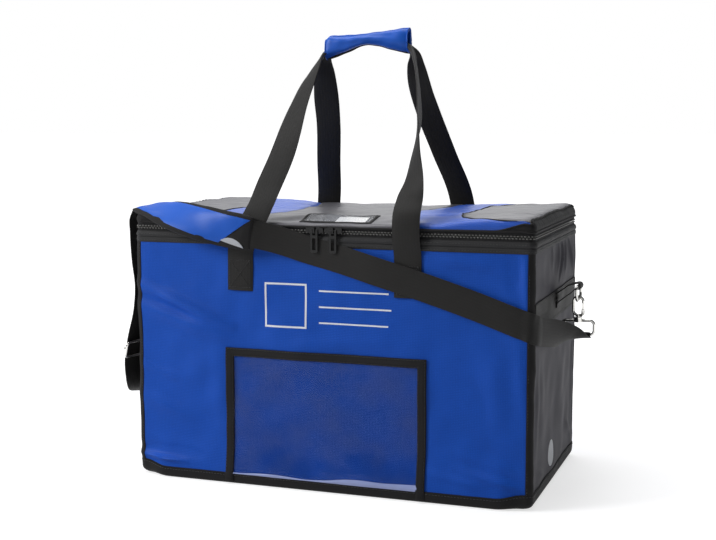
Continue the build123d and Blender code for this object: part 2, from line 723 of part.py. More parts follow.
def main():
    os.makedirs("parts", exist_ok=True)
    handle = front_handle()
    ends = pair(sewn_end)
    shapes = {
        "base_tray": base_tray(),
        "base_board": base_board(),
        "base_foam": base_foam(),
        "front_panel": long_panel(-half_depth, 1),
        "back_panel": long_panel(half_depth, -1),
        "left_panel": side_panel(-1),
        "right_panel": side_panel(1),
        "corner_bindings": corner_bindings(),
        "rim_band": rim_band(),
        "front_foam": long_foam(-1),
        "back_foam": long_foam(1),
        "left_foam": side_foam(-1),
        "right_foam": side_foam(1),
        "inner_liner": inner_liner(),
        "hinge_strip": hinge_strip(),
        "lower_zip_tape": lower_zip_tape(),
        "lower_zip_teeth": lower_zip_teeth(),
        "upper_zip_tape": upper_zip_tape(),
        "upper_zip_teeth": upper_zip_teeth(),
        "left_zip_slider": zip_slider(-1),
        "right_zip_slider": zip_slider(1),
        "left_zip_puller": zip_puller(-1),
        "right_zip_puller": zip_puller(1),
        "lid_border": lid_border(),
        "lid_centre_panel": lid_centre_panel(),
        "lid_wing_panels": lid_wing_panels(),
        "lid_end_panels": lid_end_panels(),
        "lid_foam": lid_foam(),
        "lid_liner": lid_liner(),
        "lid_piping": lid_piping(),
        "card_holder_frame": card_holder_frame(),
        "card_window": card_window(),
        "pocket_binding": pocket_binding_frame(),
        "pocket_window": pocket_window(),
        "front_handle_ends": ends,
        "rear_handle_ends": mirror(ends, Plane.XZ),
        "front_handle": handle,
        "rear_handle": mirror(handle, Plane.XZ),
        "grip_wrap": grip_wrap(),
        "grip_flap": grip_flap(),
        "left_side_band": side_band(-1),
        "right_side_band": side_band(1),
        "right_ring_tab": ring_tab(),
        "left_ring_tab": mirrored(ring_tab()),
        "right_d_ring": d_ring(),
        "left_d_ring": mirrored(d_ring()),
        "right_snap_hook": snap_hook(),
        "left_snap_hook": mirrored(snap_hook()),
        "right_hook_gate": hook_gate(),
        "left_hook_gate": mirrored(hook_gate()),
        "right_swivel_base": swivel_base(base_turn_right),
        "left_swivel_base": mirrored(swivel_base(base_turn_left)),
        "shoulder_strap": shoulder_strap(),
        "shoulder_pad": shoulder_pad(),
        "strap_adjuster": strap_adjuster(),
    }
    for name, shape in shapes.items():
        export_step(Part() + shape if not isinstance(shape, Compound) else shape, f"parts/{name}.step")


main()
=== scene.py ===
"""Looks of a soft insulated carrier, worked out around its solids.

Lengths inside the shape functions are in millimetres, in the frame's axes; meshes are written in metres.
"""

import bpy
import numpy as np
from mathutils import Matrix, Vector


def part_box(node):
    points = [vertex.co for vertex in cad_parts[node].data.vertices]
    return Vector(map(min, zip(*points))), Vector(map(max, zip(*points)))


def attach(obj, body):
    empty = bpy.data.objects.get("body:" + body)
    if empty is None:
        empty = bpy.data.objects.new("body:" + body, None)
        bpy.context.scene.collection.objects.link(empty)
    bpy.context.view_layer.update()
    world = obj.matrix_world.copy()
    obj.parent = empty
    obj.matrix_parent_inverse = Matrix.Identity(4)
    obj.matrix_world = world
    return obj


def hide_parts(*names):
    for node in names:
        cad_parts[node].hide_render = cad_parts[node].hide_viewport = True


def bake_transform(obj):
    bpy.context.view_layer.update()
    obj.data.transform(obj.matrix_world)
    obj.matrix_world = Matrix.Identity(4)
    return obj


bl_info = {
    "name": "Specimen transport box",
    "version": (1, 0, 0),
    "blender": (4, 5, 0),
    "location": "3D View > Sidebar > Carrier",
    "description": "Cloth, webbing, zip and fittings of a soft insulated carrier",
    "category": "Add Mesh",
}

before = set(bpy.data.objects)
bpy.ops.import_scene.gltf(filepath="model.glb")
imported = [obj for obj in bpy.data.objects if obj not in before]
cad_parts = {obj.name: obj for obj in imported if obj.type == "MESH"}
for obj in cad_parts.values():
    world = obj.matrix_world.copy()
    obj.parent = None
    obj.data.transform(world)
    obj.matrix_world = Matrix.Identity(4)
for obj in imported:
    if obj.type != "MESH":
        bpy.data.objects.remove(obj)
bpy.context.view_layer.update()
MM = 0.001


def limits(node):
    """Lowest and highest corner of a solid, in millimetres."""
    return np.array(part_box(node)) / MM


# Sizes read from the solids
HALF_X = limits("right_panel")[1][0]
HALF_Y = limits("back_panel")[1][1]
WALL_TOP = limits("front_panel")[1][2]
RIM_TOP = limits("rim_band")[1][2]
TRIM_TOP = limits("base_tray")[1][2]
LOWER_TEETH = limits("lower_zip_teeth")
UPPER_TEETH = limits("upper_zip_teeth")
LID_BOTTOM = limits("lid_border")[0][2]
LID_TOP = limits("lid_centre_panel")[1][2]
LID_FLAT = limits("lid_centre_panel")[:, 1]
LINER = limits("inner_liner")

# Sizes of the sewn body
CORNER = 9.0
REACH_X = HALF_X - CORNER
REACH_Y = HALF_Y - CORNER
QUARTER = CORNER * np.pi / 2
RIGHT_MID = REACH_X + QUARTER + REACH_Y
BACK_MID = REACH_X + 2 * (QUARTER + REACH_Y) + REACH_X
GIRTH = 2 * BACK_MID
CLOTH = 1.2
LINER_INSET = 14.2
ZIP_DROP = 2.5
WEB = 38.0
WEB_FACE = 154.3
SEWN_Z = (280, 318)
FOLD_Y = 160.0
FOLD_Z = (357.5, 366.5)
HOOK_X = 320.0
PAD_HALF = 25.0

# Sizes of the sewn lid: its flat, the lip by which coloured cloth reaches past it, its two curved seams
LID_FLAT_X = 279.0
LID_RIM = LID_FLAT_X + 3.0
LID_MIDDLE = -0.75
LID_HALF_Y = 148.0
LID_ROLL = 9.0
LID_FOOT = LID_BOTTOM - ZIP_DROP
LID_HIGH = LID_TOP - LID_FOOT
LID_DROP = LID_ROLL * np.pi / 2 + LID_HIGH - LID_ROLL
LIP = 9.0
FRONT_ROWS = 7
END_REACH = 147.9
END_DEPTH = 111.0
WING_CENTRE = 512.0
WING_RADIUS = 420.0
CARD_SHIFT = (-13.0, -6.0)


# Shapes

def smooth(x):
    """Soft step from 0 to 1: three x squared less two x cubed, held at its ends."""
    x = np.clip(x, 0, 1)
    return x * x * (3 - 2 * x)


def ripples(u, v, seed, wavelength, count=7):
    """Soft unevenness: a sum of sine waves of about one length in seeded directions."""
    rng = np.random.default_rng(seed)
    turn = rng.uniform(0, 2 * np.pi, count)
    pace = 2 * np.pi / (wavelength * rng.uniform(0.7, 1.5, count))
    phase = rng.uniform(0, 2 * np.pi, count)
    u, v = np.asarray(u)[..., None], np.asarray(v)[..., None]
    return np.sin(pace * (u * np.cos(turn) + v * np.sin(turn)) + phase).sum(-1) / np.sqrt(count)


def creases(u, v, rows):
    """Ridges and valleys: each row's height, falling as a bell with the distance from its line."""
    rows = np.asarray(rows, float)
    u, v = np.asarray(u)[..., None], np.asarray(v)[..., None]
    run_u, run_v = rows[:, 2] - rows[:, 0], rows[:, 3] - rows[:, 1]
    share = ((u - rows[:, 0]) * run_u + (v - rows[:, 1]) * run_v) / (run_u ** 2 + run_v ** 2)
    held = np.clip(share, 0, 1)
    away = np.hypot(u - rows[:, 0] - held * run_u, v - rows[:, 1] - held * run_v)
    taper = 0.25 + 0.75 * np.sin(np.pi * held)
    return (rows[:, 5] * taper * np.exp(-(away / rows[:, 4]) ** 2)).sum(-1)


def ring_knots(reach_x, reach_y):
    """Ends of the eight parts of a rounded rectangle, by length."""
    return np.cumsum([2 * reach_x, QUARTER, 2 * reach_y, QUARTER] * 2)


def ring(s, reach_x=REACH_X, reach_y=REACH_Y):
    """Rounded rectangle by length from the middle of its front towards +X: straights joined by quarter
    turns. Gives points and outward directions."""
    ends = ring_knots(reach_x, reach_y)
    runs = np.diff(ends, prepend=0)
    along = np.mod(np.asarray(s, float) + reach_x, ends[-1])
    part = np.minimum(np.searchsorted(ends, along, side="right"), 7)
    local = along - (ends[part] - runs[part])
    side, turning = part // 2, part % 2 == 1
    heading = side * np.pi / 2 + np.where(turning, local / CORNER, 0)
    out = np.stack([np.sin(heading), -np.cos(heading)], -1)
    corners = np.array([(-1, -1), (1, -1), (1, 1), (-1, 1), (-1, -1)]) * (reach_x, reach_y)
    travel = np.stack([np.cos(side * np.pi / 2), np.sin(side * np.pi / 2)], -1)
    start = corners[np.where(turning, side + 1, side)]
    return start + travel * np.where(turning, 0, local)[..., None] + out * CORNER, out


def inner_ring(s, inset):
    """The ring's point at the same share of each part, on a rectangle that lies further in."""
    reach_x, reach_y = REACH_X - inset, REACH_Y - inset
    outer, inner = ring_knots(REACH_X, REACH_Y), ring_knots(reach_x, reach_y)
    along = np.mod(np.asarray(s, float) + REACH_X, outer[-1])
    moved = np.interp(along, np.r_[0, outer], np.r_[0, inner]) - reach_x
    return ring(moved, reach_x, reach_y)


def level_out(s):
    """Outward directions round the ring, as level vectors."""
    return np.c_[ring(s)[1], np.zeros(len(s))]


# Folds in the wall cloth: s, z of both ends, half width and height
WALL_FOLDS = [
    (-286, 279, -140, 224, 8, 3.9), (-284, 264, -190, 231, 7, -2.2), (-284, 250, -130, 204, 12, 2.8),
    (-284, 166, -222, 142, 9, 1.9), (-284, 118, -205, 90, 11, 1.8), (-270, 190, -230, 120, 16, -1.4),
    (-286, 30, -210, 25, 4, 3.0), (-286, 41, -190, 36, 6, -2.2), (-160, 215, -156, 60, 14, 0.9),
    (186, 50, 284, 27, 6, 2.2), (180, 72, 284, 46, 9, 1.4), (150, 40, 230, 28, 6, 1.2),
    (262, 338, 262, 292, 8, -1.8), (276, 338, 281, 250, 6, 1.4), (200, 200, 214, 90, 24, -1.4),
    (232, 220, 240, 100, 16, 1.2), (160, 220, 172, 120, 20, -1.0), (270, 230, 276, 120, 9, 1.2),
    (150, 330, 240, 322, 9, 1.2), (160, 312, 250, 304, 8, -1.0), (-90, 200, 120, 214, 10, 0.8),
    (478, 340, 462, 284, 4.5, 2.4), (492, 340, 480, 300, 5, -1.8), (524, 340, 566, 286, 4.0, 2.3),
    (540, 340, 560, 312, 5, -1.6), (506, 340, 500, 290, 5, 1.5), (452, 340, 444, 292, 6, 1.4),
    (430, 340, 424, 300, 6, -1.2), (404, 340, 408, 306, 7, 1.0), (300, 300, 380, 282, 10, 1.0),
    (312, 200, 306, 60, 9, 1.2), (560, 190, 556, 50, 8, -1.2), (330, 190, 350, 40, 20, 1.3),
    (470, 180, 480, 40, 24, 1.5), (520, 66, 574, 34, 7, 1.8), (300, 50, 360, 30, 6, 1.4),
    (-470, 340, -462, 284, 6, 1.8), (-520, 340, -560, 290, 6, 1.7), (-430, 340, -424, 296, 7, -1.4),
    (-380, 340, -392, 300, 6, 1.4), (-330, 190, -350, 50, 22, 1.4), (-520, 180, -500, 40, 24, -1.2),
    (620, 300, 760, 240, 14, 1.7), (700, 120, 860, 60, 16, 1.5), (900, 300, 980, 220, 14, -1.4),
    (1000, 330, 1040, 220, 10, 1.5), (1090, 80, 1148, 30, 9, 1.8), (-600, 60, -700, 30, 9, 1.5),
]


def from_front(s):
    """Length round the ring from the middle of its front, negative towards the left."""
    return np.mod(s + BACK_MID, GIRTH) - BACK_MID


def sag(s):
    """Share of the foot's sag: 1 in the middle of the front and back, 0 at their corners and on the sides."""
    away = np.abs(from_front(s))
    return smooth((282 - away) / 42) + smooth((away - BACK_MID + 270) / 60)


def trim_line(s):
    """Height of the base trim's upper edge, which hangs lower between the corners."""
    return TRIM_TOP - 1 - 6.5 * sag(s)


def wall_push(s, z):
    """How far the wall cloth stands out: a broad swell, soft ripples, puckers by the seams and folds, all
    fading out at the rim and the foot."""
    s = from_front(s)
    near = smooth((280 - np.abs(s)) / 34) + smooth((np.abs(s) - BACK_MID + 280) / 34)
    bow = (5.5 * near + 3.0 * sag(s)) * smooth((70 - z) / 64)
    side_s = np.abs(np.abs(s) - RIGHT_MID)
    level = smooth(z / 30) * smooth((WALL_TOP + 6 - z) / 46)
    swell = 0.8 * np.sin(np.pi * np.clip(z / WALL_TOP, 0, 1))
    on_side = side_s < REACH_Y
    waves = 0.95 * ripples(s, z, 3, 128) + 0.34 * ripples(s, z, 8, 52)
    vertical = 0.16 * np.sin(s / 7.3 + 1.5 * np.sin(s / 31)) * smooth((z - WALL_TOP + 70) / 66) * on_side
    foot = 0.30 * np.sin(s / 9.1 + 2 * np.sin(s / 43)) * smooth((60 - z) / 40)
    calm = 1 - 0.7 * np.exp(-(side_s / 44) ** 2) * np.exp(-((z - 254) / 34) ** 2)
    folds = 1.9 * sum(creases(s + turn * GIRTH, z, WALL_FOLDS) for turn in (-1, 0, 1))
    push = ((swell + waves + vertical + foot) * level + folds * smooth((WALL_TOP + 3 - z) / 12)
            * smooth((z - 14) / 12)) * calm
    return bow + np.where(push < 0, 0.7 * (np.exp(np.minimum(push, 0) / 0.7) - 1), push)


def wall(s, z, lift=0.0):
    """Points on the body: the ring at each height, pushed outwards by the cloth's folds and a lift."""
    s, z = np.broadcast_arrays(np.asarray(s, float), np.asarray(z, float))
    point, out = ring(s)
    return np.concatenate([point + out * (wall_push(s, z) + lift)[..., None], z[..., None]], -1)


# Folds in the lid cloth: x, y of both ends, half width and height
LID_FOLDS = [
    (118, -60, 176, -66, 8, 1.8), (100, -96, 170, -80, 6, -1.3), (112, -126, 150, -70, 6, 1.3),
    (104, 20, 150, 40, 12, 1.0), (60, 60, 100, 110, 12, 0.9), (20, 100, -30, 40, 16, 1.1),
    (-60, 90, -20, 30, 14, -0.9), (40, -60, 90, -30, 14, 1.3), (-70, -40, -10, -70, 14, 1.2),
    (-10, -100, 100, -92, 5, 1.0), (190, -40, 268, -20, 12, 1.2), (200, 40, 262, 92, 14, 1.4),
    (176, 10, 240, 20, 12, -0.9), (230, -90, 276, -60, 9, 1.2), (-100, 70, -150, 40, 10, 1.4),
    (-110, 40, -150, 10, 8, -1.1), (-120, 110, -160, 90, 9, 1.1), (-190, 60, -250, 90, 16, 1.6),
    (-200, 20, -240, 0, 14, -1.0), (-180, 100, -220, 120, 10, 1.2), (-130, -20, -160, -60, 12, 1.0),
]


def end_edge(y):
    """Inner edge of the lid's end colour, from the middle of the lid: a flattened half oval."""
    share = np.clip(np.abs(y - LID_MIDDLE) / LID_HALF_Y, 0, 1)
    return LID_FLAT_X - END_DEPTH * (1 - share ** 3) ** (1 / 3)


def wing_edge(y):
    """Seam between the middle and a wing: an arc about a centre far out to the side."""
    return WING_CENTRE - np.sqrt(WING_RADIUS ** 2 - (y - LID_MIDDLE) ** 2)


def edge_steps(half, count):
    """Rows of y over the lid's depth, by a sine, closer together near its front and back edges."""
    return LID_MIDDLE + half * np.sin(np.linspace(-np.pi / 2, np.pi / 2, count))


def lid_crown(x, y):
    """How much the lid's top stands above its solid: raised soft ends, a front that sags between them,
    ribs drawn up by the end seams, seam valleys, ripples and folds."""
    ends = 5.2 * smooth((np.abs(x) - 110) / 130) - 1.0 * smooth((120 - np.abs(x)) / 120)
    droop = -6.4 * smooth((-108 - y) / 40) * smooth((250 - np.abs(x - 20)) / 140)
    ribs = 0.75 * np.exp(-np.abs(LID_RIM - np.abs(x)) / 13) * np.sin(y / 1.62 + np.sin(y / 17))
    seams = sum(-1.0 * np.exp(-((np.abs(x) - edge) / 2.2) ** 2) for edge in (wing_edge(y), end_edge(y)))
    plump = 1.3 * np.exp(-((np.abs(x) - wing_edge(y) - 24) / 18) ** 2)
    waves = 0.85 * ripples(x, y, 21, 92) + 0.35 * ripples(x, y, 5, 38)
    corner = smooth((HALF_X + 6 - np.abs(x)) / 22)
    return ends * corner + droop + ribs + seams + plump + waves + creases(x, y, LID_FOLDS)


def rolled_edge(q, low, high, radius):
    """A plane whose border is rolled over: a point inside the rectangle stays, one outside goes round a
    quarter turn and then straight down. Gives places and how far down they are."""
    nearest = np.clip(q, low, high)
    gap = q - nearest
    over = np.linalg.norm(gap, axis=-1)
    out = gap / np.maximum(over, 1e-9)[..., None]
    angle = np.minimum(over / radius, np.pi / 2)
    down = radius * (1 - np.cos(angle)) + np.maximum(over - radius * np.pi / 2, 0)
    return nearest + out * (radius * np.sin(angle))[..., None], down


def lid_skin(x, y):
    """Points on the lid: its unrolled cloth laid over the rounded edge, its height shared out between
    the lid's foot and its crown."""
    x, y = np.broadcast_arrays(np.asarray(x, float), np.asarray(y, float))
    low, high = (-LID_FLAT_X, LID_FLAT[0]), (LID_FLAT_X, LID_FLAT[1])
    spot, down = rolled_edge(np.stack([x, y], -1), low, high, LID_ROLL)
    height = (LID_HIGH + lid_crown(x, y)) * (1 - down / LID_HIGH)
    return np.concatenate([spot, (LID_FOOT + height)[..., None]], -1)


def grid_normals(points, towards):
    """Unit normals of a grid: the cross product of its two slopes, on the side of a given direction."""
    normal = np.cross(np.gradient(points, axis=0), np.gradient(points, axis=1))
    normal /= np.maximum(np.linalg.norm(normal, axis=-1, keepdims=True), 1e-9)
    lean = (normal * towards).sum(-1, keepdims=True)
    return normal * np.where(np.median(lean) < 0, -1, 1)


def smooth_run(stations, count):
    """A cubic curve through stations, with each station's slope taken from its neighbours."""
    stations = np.asarray(stations, float)
    gaps = np.linalg.norm(np.diff(stations[:, :3], axis=0), axis=1)
    knots = np.r_[0, np.cumsum(gaps)]
    at = np.linspace(0, knots[-1], count)
    slopes = np.gradient(stations, knots, axis=0)
    part = np.clip(np.searchsorted(knots, at, side="right") - 1, 0, len(gaps) - 1)
    span = gaps[part][:, None]
    t = (at - knots[part])[:, None] / span
    a, b, m, n = stations[part], stations[part + 1], slopes[part] * span, slopes[part + 1] * span
    return ((2 * t ** 3 - 3 * t ** 2 + 1) * a + (t ** 3 - 2 * t ** 2 + t) * m
            + (3 * t ** 2 - 2 * t ** 3) * b + (t ** 3 - t ** 2) * n)


def band_frame(stations, count):
    """Centre line, direction across, outward face, width, thickness and length so far of a flat band."""
    run = smooth_run(stations, count)
    centre = run[:, :3]
    along = np.gradient(centre, axis=0)
    along /= np.linalg.norm(along, axis=1, keepdims=True)
    across = run[:, 3:6] - along * (run[:, 3:6] * along).sum(1, keepdims=True)
    across /= np.linalg.norm(across, axis=1, keepdims=True)
    length = np.r_[0, np.cumsum(np.linalg.norm(np.diff(centre, axis=0), axis=1))]
    return centre, across, np.cross(across, along), run[:, 6], run[:, 7], length


def front_lip(x):
    """How far the lid's coloured cloth reaches past its flat part at the front: down to the zip in the
    middle, less at the corners."""
    return LIP + 8.6 * smooth((288 - np.abs(x)) / 55)


# Meshes

def write_mesh(name, points, faces, uvs, material, sharp=0.7):
    """One mesh from points in millimetres and lists of equal-sided faces, turned outwards by the sign of
    its volume."""
    corner = [points[f[:, 0]] for f in faces]
    volume = sum(np.einsum("ij,ij->", a, np.cross(points[f[:, k]], points[f[:, k + 1]]))
                 for a, f in zip(corner, faces) for k in range(1, f.shape[1] - 1))
    if volume < 0:
        faces = [f[:, ::-1] for f in faces]
        uvs = [u[:, ::-1] for u in uvs] if uvs is not None else None
    mesh = bpy.data.meshes.new(name)
    totals = np.concatenate([np.full(len(f), f.shape[1]) for f in faces])
    index = np.concatenate([f.ravel() for f in faces])
    mesh.vertices.add(len(points))
    mesh.vertices.foreach_set("co", (points * MM).astype(np.float32).ravel())
    mesh.loops.add(len(index))
    mesh.loops.foreach_set("vertex_index", index.astype(np.int32))
    mesh.polygons.add(len(totals))
    mesh.polygons.foreach_set("loop_start", np.r_[0, np.cumsum(totals)[:-1]].astype(np.int32))
    if uvs is not None:
        layer = mesh.uv_layers.new(name="cloth")
        flat = np.concatenate([u.reshape(-1, 2) for u in uvs]) * MM
        layer.uv.foreach_set("vector", flat.astype(np.float32).ravel())
    mesh.update(calc_edges=True)
    mesh.validate()
    mesh.shade_smooth()
    mesh.set_sharp_from_angle(angle=sharp)
    mesh.materials.append(material)
    piece = bpy.data.objects.new(name, mesh)
    bpy.context.scene.collection.objects.link(piece)
    return piece


def grid_faces(rows, cols, offset=0, wrap=False):
    """Quads over a grid of rows and columns, with each corner's row and column for its UV."""
    i, j = np.meshgrid(np.arange(rows if wrap else rows - 1), np.arange(cols - 1), indexing="ij")
    i, j = i.ravel(), j.ravel()
    steps = [(i, j), (i, j + 1), (i + 1, j + 1), (i + 1, j)]
    index = np.stack([offset + (a % rows) * cols + b for a, b in steps], -1)
    return index, np.stack([a for a, _ in steps], -1), np.stack([b for _, b in steps], -1)


def solid_sheet(name, outer, inner, uv, material, wrap=False):
    """Cloth with a thickness: an outer and an inner grid joined along their edges. With wrap, the last
    row repeats the first and closes the band."""
    if wrap:
        outer, inner = outer[:-1], inner[:-1]
    rows, cols = outer.shape[:2]
    points = np.concatenate([outer.reshape(-1, 3), inner.reshape(-1, 3)])
    back = rows * cols
    top, i, j = grid_faces(rows, cols, 0, wrap)
    under, _, _ = grid_faces(rows, cols, back, wrap)
    faces = [top, under[:, ::-1]]
    uvs = [uv[i, j], uv[i, j][:, ::-1]]
    r = np.arange(rows if wrap else rows - 1)
    rims = [(r, 0, r + 1, 0, True), (r, cols - 1, r + 1, cols - 1, False)]
    if not wrap:
        c = np.arange(cols - 1)
        rims += [(0, c, 0, c + 1, False), (rows - 1, c, rows - 1, c + 1, True)]
    for i0, j0, i1, j1, turn in rims:
        a, b = (i0 % rows) * cols + j0, (i1 % rows) * cols + j1
        quad = np.stack([a, b, b + back, a + back], -1)
        spot = np.stack([uv[i0, j0], uv[i1, j1], uv[i1, j1], uv[i0, j0]], 1)
        faces.append(quad if turn else quad[:, ::-1])
        uvs.append(spot if turn else spot[:, ::-1])
    return write_mesh(name, points, faces, uvs, material)


def flat_uv(u, v):
    """A grid of UVs, in millimetres along and across the cloth."""
    return np.stack(np.broadcast_arrays(u, v), -1).astype(float)


def wall_sheet(name, s, z, lift, thickness, material, wrap=False):
    """A piece of cloth on the wall, over grids of lengths s round it and heights z."""
    s, z = np.broadcast_arrays(s, z)
    return solid_sheet(name, wall(s, z, lift), wall(s, z, lift - thickness), flat_uv(s, z), material, wrap)


def lid_sheet(name, x, y, material, lift=0.0):
    """A piece of cloth on the lid, over grids of unrolled x and y."""
    x, y = np.broadcast_arrays(x, y)
    middle = lid_skin(x, y)
    normal = grid_normals(middle, (0, 0, 1))
    return solid_sheet(name, middle + normal * lift, middle + normal * (lift - CLOTH), flat_uv(x, y),
                       material)


def band(name, stations, count, material, cup=0.0):
    """A flat woven band through stations of centre, direction across, width and thickness; cup bends
    its edges towards its back."""
    centre, across, face, width, thick, length = band_frame(stations, count)
    v = np.linspace(-0.5, 0.5, 9)
    middle = centre[:, None] + across[:, None] * (v * width[:, None])[..., None]
    middle -= face[:, None] * (cup * (2 * v) ** 2)[None, :, None]
    half = (thick[:, None] / 2 * (1 - 0.45 * np.abs(2 * v) ** 8))[..., None]
    outer, inner = middle + face[:, None] * half, middle - face[:, None] * half
    return solid_sheet(name, outer, inner, flat_uv(length[:, None], v * width[:, None]), material)


def rectangle(x0, y0, x1, y1, inset=0.0):
    """Corners of a rectangle drawn in by an inset, with the first one repeated at the end."""
    x0, y0, x1, y1 = x0 + inset, y0 + inset, x1 - inset, y1 - inset
    return [(x0, y0), (x1, y0), (x1, y1), (x0, y1), (x0, y0)]


def frame_grid(outer, inner, per_side, columns):
    """A mitred frame between two polylines with matching corners, as a grid of flat points."""
    outer, inner = np.asarray(outer, float), np.asarray(inner, float)
    at = np.linspace(0, len(outer) - 1, (len(outer) - 1) * per_side + 1)
    knots = np.arange(len(outer))
    share = np.linspace(0, 1, columns)[None, :, None]
    return (along_line(at, knots, outer)[:, None] * (1 - share)
            + along_line(at, knots, inner)[:, None] * share)


def capsule(length, width, height):
    """A small rounded bar along X: a hexagon carried through four stations, closed at both ends."""
    turn = np.arange(6) * np.pi / 3
    station = np.array([(-0.5, 0.5), (-0.3, 1), (0.3, 1), (0.5, 0.5)])
    points = np.stack([np.stack([np.full(6, x * length), np.cos(turn) * width / 2 * r,
                                 np.sin(turn) * height / 2 * r], -1) for x, r in station])
    i, j = np.meshgrid(np.arange(3), np.arange(6), indexing="ij")
    quads = np.stack([i * 6 + j, i * 6 + (j + 1) % 6, (i + 1) * 6 + (j + 1) % 6, (i + 1) * 6 + j], -1)
    caps = np.stack([np.arange(6)[::-1], 18 + np.arange(6)])
    return points.reshape(-1, 3), [quads.reshape(-1, 4), caps]


def repeat(name, template, places, along, out, material):
    """One small shape set at many places, with its X along each run and its Z outwards."""
    points, faces = template
    across = np.cross(out, along)
    axes = np.stack([along, across, out], 1)
    everything = places[:, None] + np.einsum("pk,nkc->npc", points, axes)
    shift = (np.arange(len(places)) * len(points))[:, None, None]
    spread = [(f[None] + shift).reshape(-1, f.shape[1]) for f in faces]
    return write_mesh(name, everything.reshape(-1, 3), spread, None, material, sharp=1.2)


def along_line(at, knots, line):
    """Points at given lengths along a line of points whose lengths so far are the knots."""
    return np.stack([np.interp(at, knots, line[:, k]) for k in range(line.shape[1])], -1)


def stitch_line(name, line, out, pitch, material, length=2.8, width=0.6):
    """Thread stitches along a line of points, one each pitch, half sunk in the cloth."""
    knots = np.r_[0, np.cumsum(np.linalg.norm(np.diff(line, axis=0), axis=1))]
    at = np.arange(pitch / 2, knots[-1], pitch)
    spot = along_line(at, knots, line)
    along = along_line(at + 0.5, knots, line) - spot
    along /= np.maximum(np.linalg.norm(along, axis=1, keepdims=True), 1e-9)
    normal = along_line(at, knots, out)
    normal -= along * (normal * along).sum(1, keepdims=True)
    normal /= np.linalg.norm(normal, axis=1, keepdims=True)
    return repeat(name, capsule(length, width, width), spot + normal * 0.15, along, normal, material)


def wall_stitches(name, s, z, lift, pitch=4.2, length=2.8, width=0.6):
    """A row of stitches on the wall's cloth, through lengths s round it and heights z."""
    s, z = np.broadcast_arrays(np.asarray(s, float), z)
    return stitch_line(name, wall(s, z, lift), level_out(s), pitch, thread(), length, width)


def merge(name, pieces):
    """Several small meshes made one piece."""
    with bpy.context.temp_override(active_object=pieces[0], selected_objects=pieces,
                                   selected_editable_objects=pieces):
        bpy.ops.object.join()
    pieces[0].name = name
    return pieces[0]


def place(piece, body, slot, *nodes, bend=None):
    """The piece rides on a body, or, given a bend, has its place baked into its points and rides on none; the
    solids it stands for are hidden. The slot is not used."""
    if bend:
        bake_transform(piece)
    else:
        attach(piece, body)
    if nodes:
        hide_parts(*nodes)
    return piece


# Materials

def linear(code):
    """sRGB hex to linear colour."""
    value = np.array([int(code[k:k + 2], 16) for k in (1, 3, 5)]) / 255
    value = np.where(value <= 0.04045, value / 12.92, ((value + 0.055) / 1.055) ** 2.4)
    return (*value, 1.0)


def hex_of(name):
    """A colour property as a hex code."""
    value = np.array(getattr(bpy.context.scene.carrier_looks, name)[:3])
    value = np.where(value <= 0.0031308, value * 12.92, 1.055 * value ** (1 / 2.4) - 0.055)
    return "#" + "".join(f"{int(round(v * 255)):02x}" for v in np.clip(value, 0, 1))


def add_node(tree, kind, inputs=None, links=None, **settings):
    """One node with its settings, socket values and links."""
    node = tree.nodes.new(kind)
    for key, value in settings.items():
        setattr(node, key, value)
    for key, value in (inputs or {}).items():
        node.inputs[key].default_value = value
    for key, source in (links or {}).items():
        tree.links.new(source, node.inputs[key])
    return node


def start_material(name):
    """An empty material with its shader and output."""
    if name in bpy.data.materials:
        return bpy.data.materials[name], None, None
    material = bpy.data.materials.new(name)
    material.use_nodes = True
    tree = material.node_tree
    tree.nodes.clear()
    shader = add_node(tree, "ShaderNodeBsdfPrincipled")
    add_node(tree, "ShaderNodeOutputMaterial", links={"Surface": shader.outputs[0]})
    return material, tree, shader


def set_sockets(shader, values):
    """Set the shader's own values."""
    for key, value in values.items():
        shader.inputs[key].default_value = value


def wire(tree, shader, sources):
    """Link node outputs to the shader's sockets."""
    for key, source in sources.items():
        tree.links.new(source, shader.inputs[key])


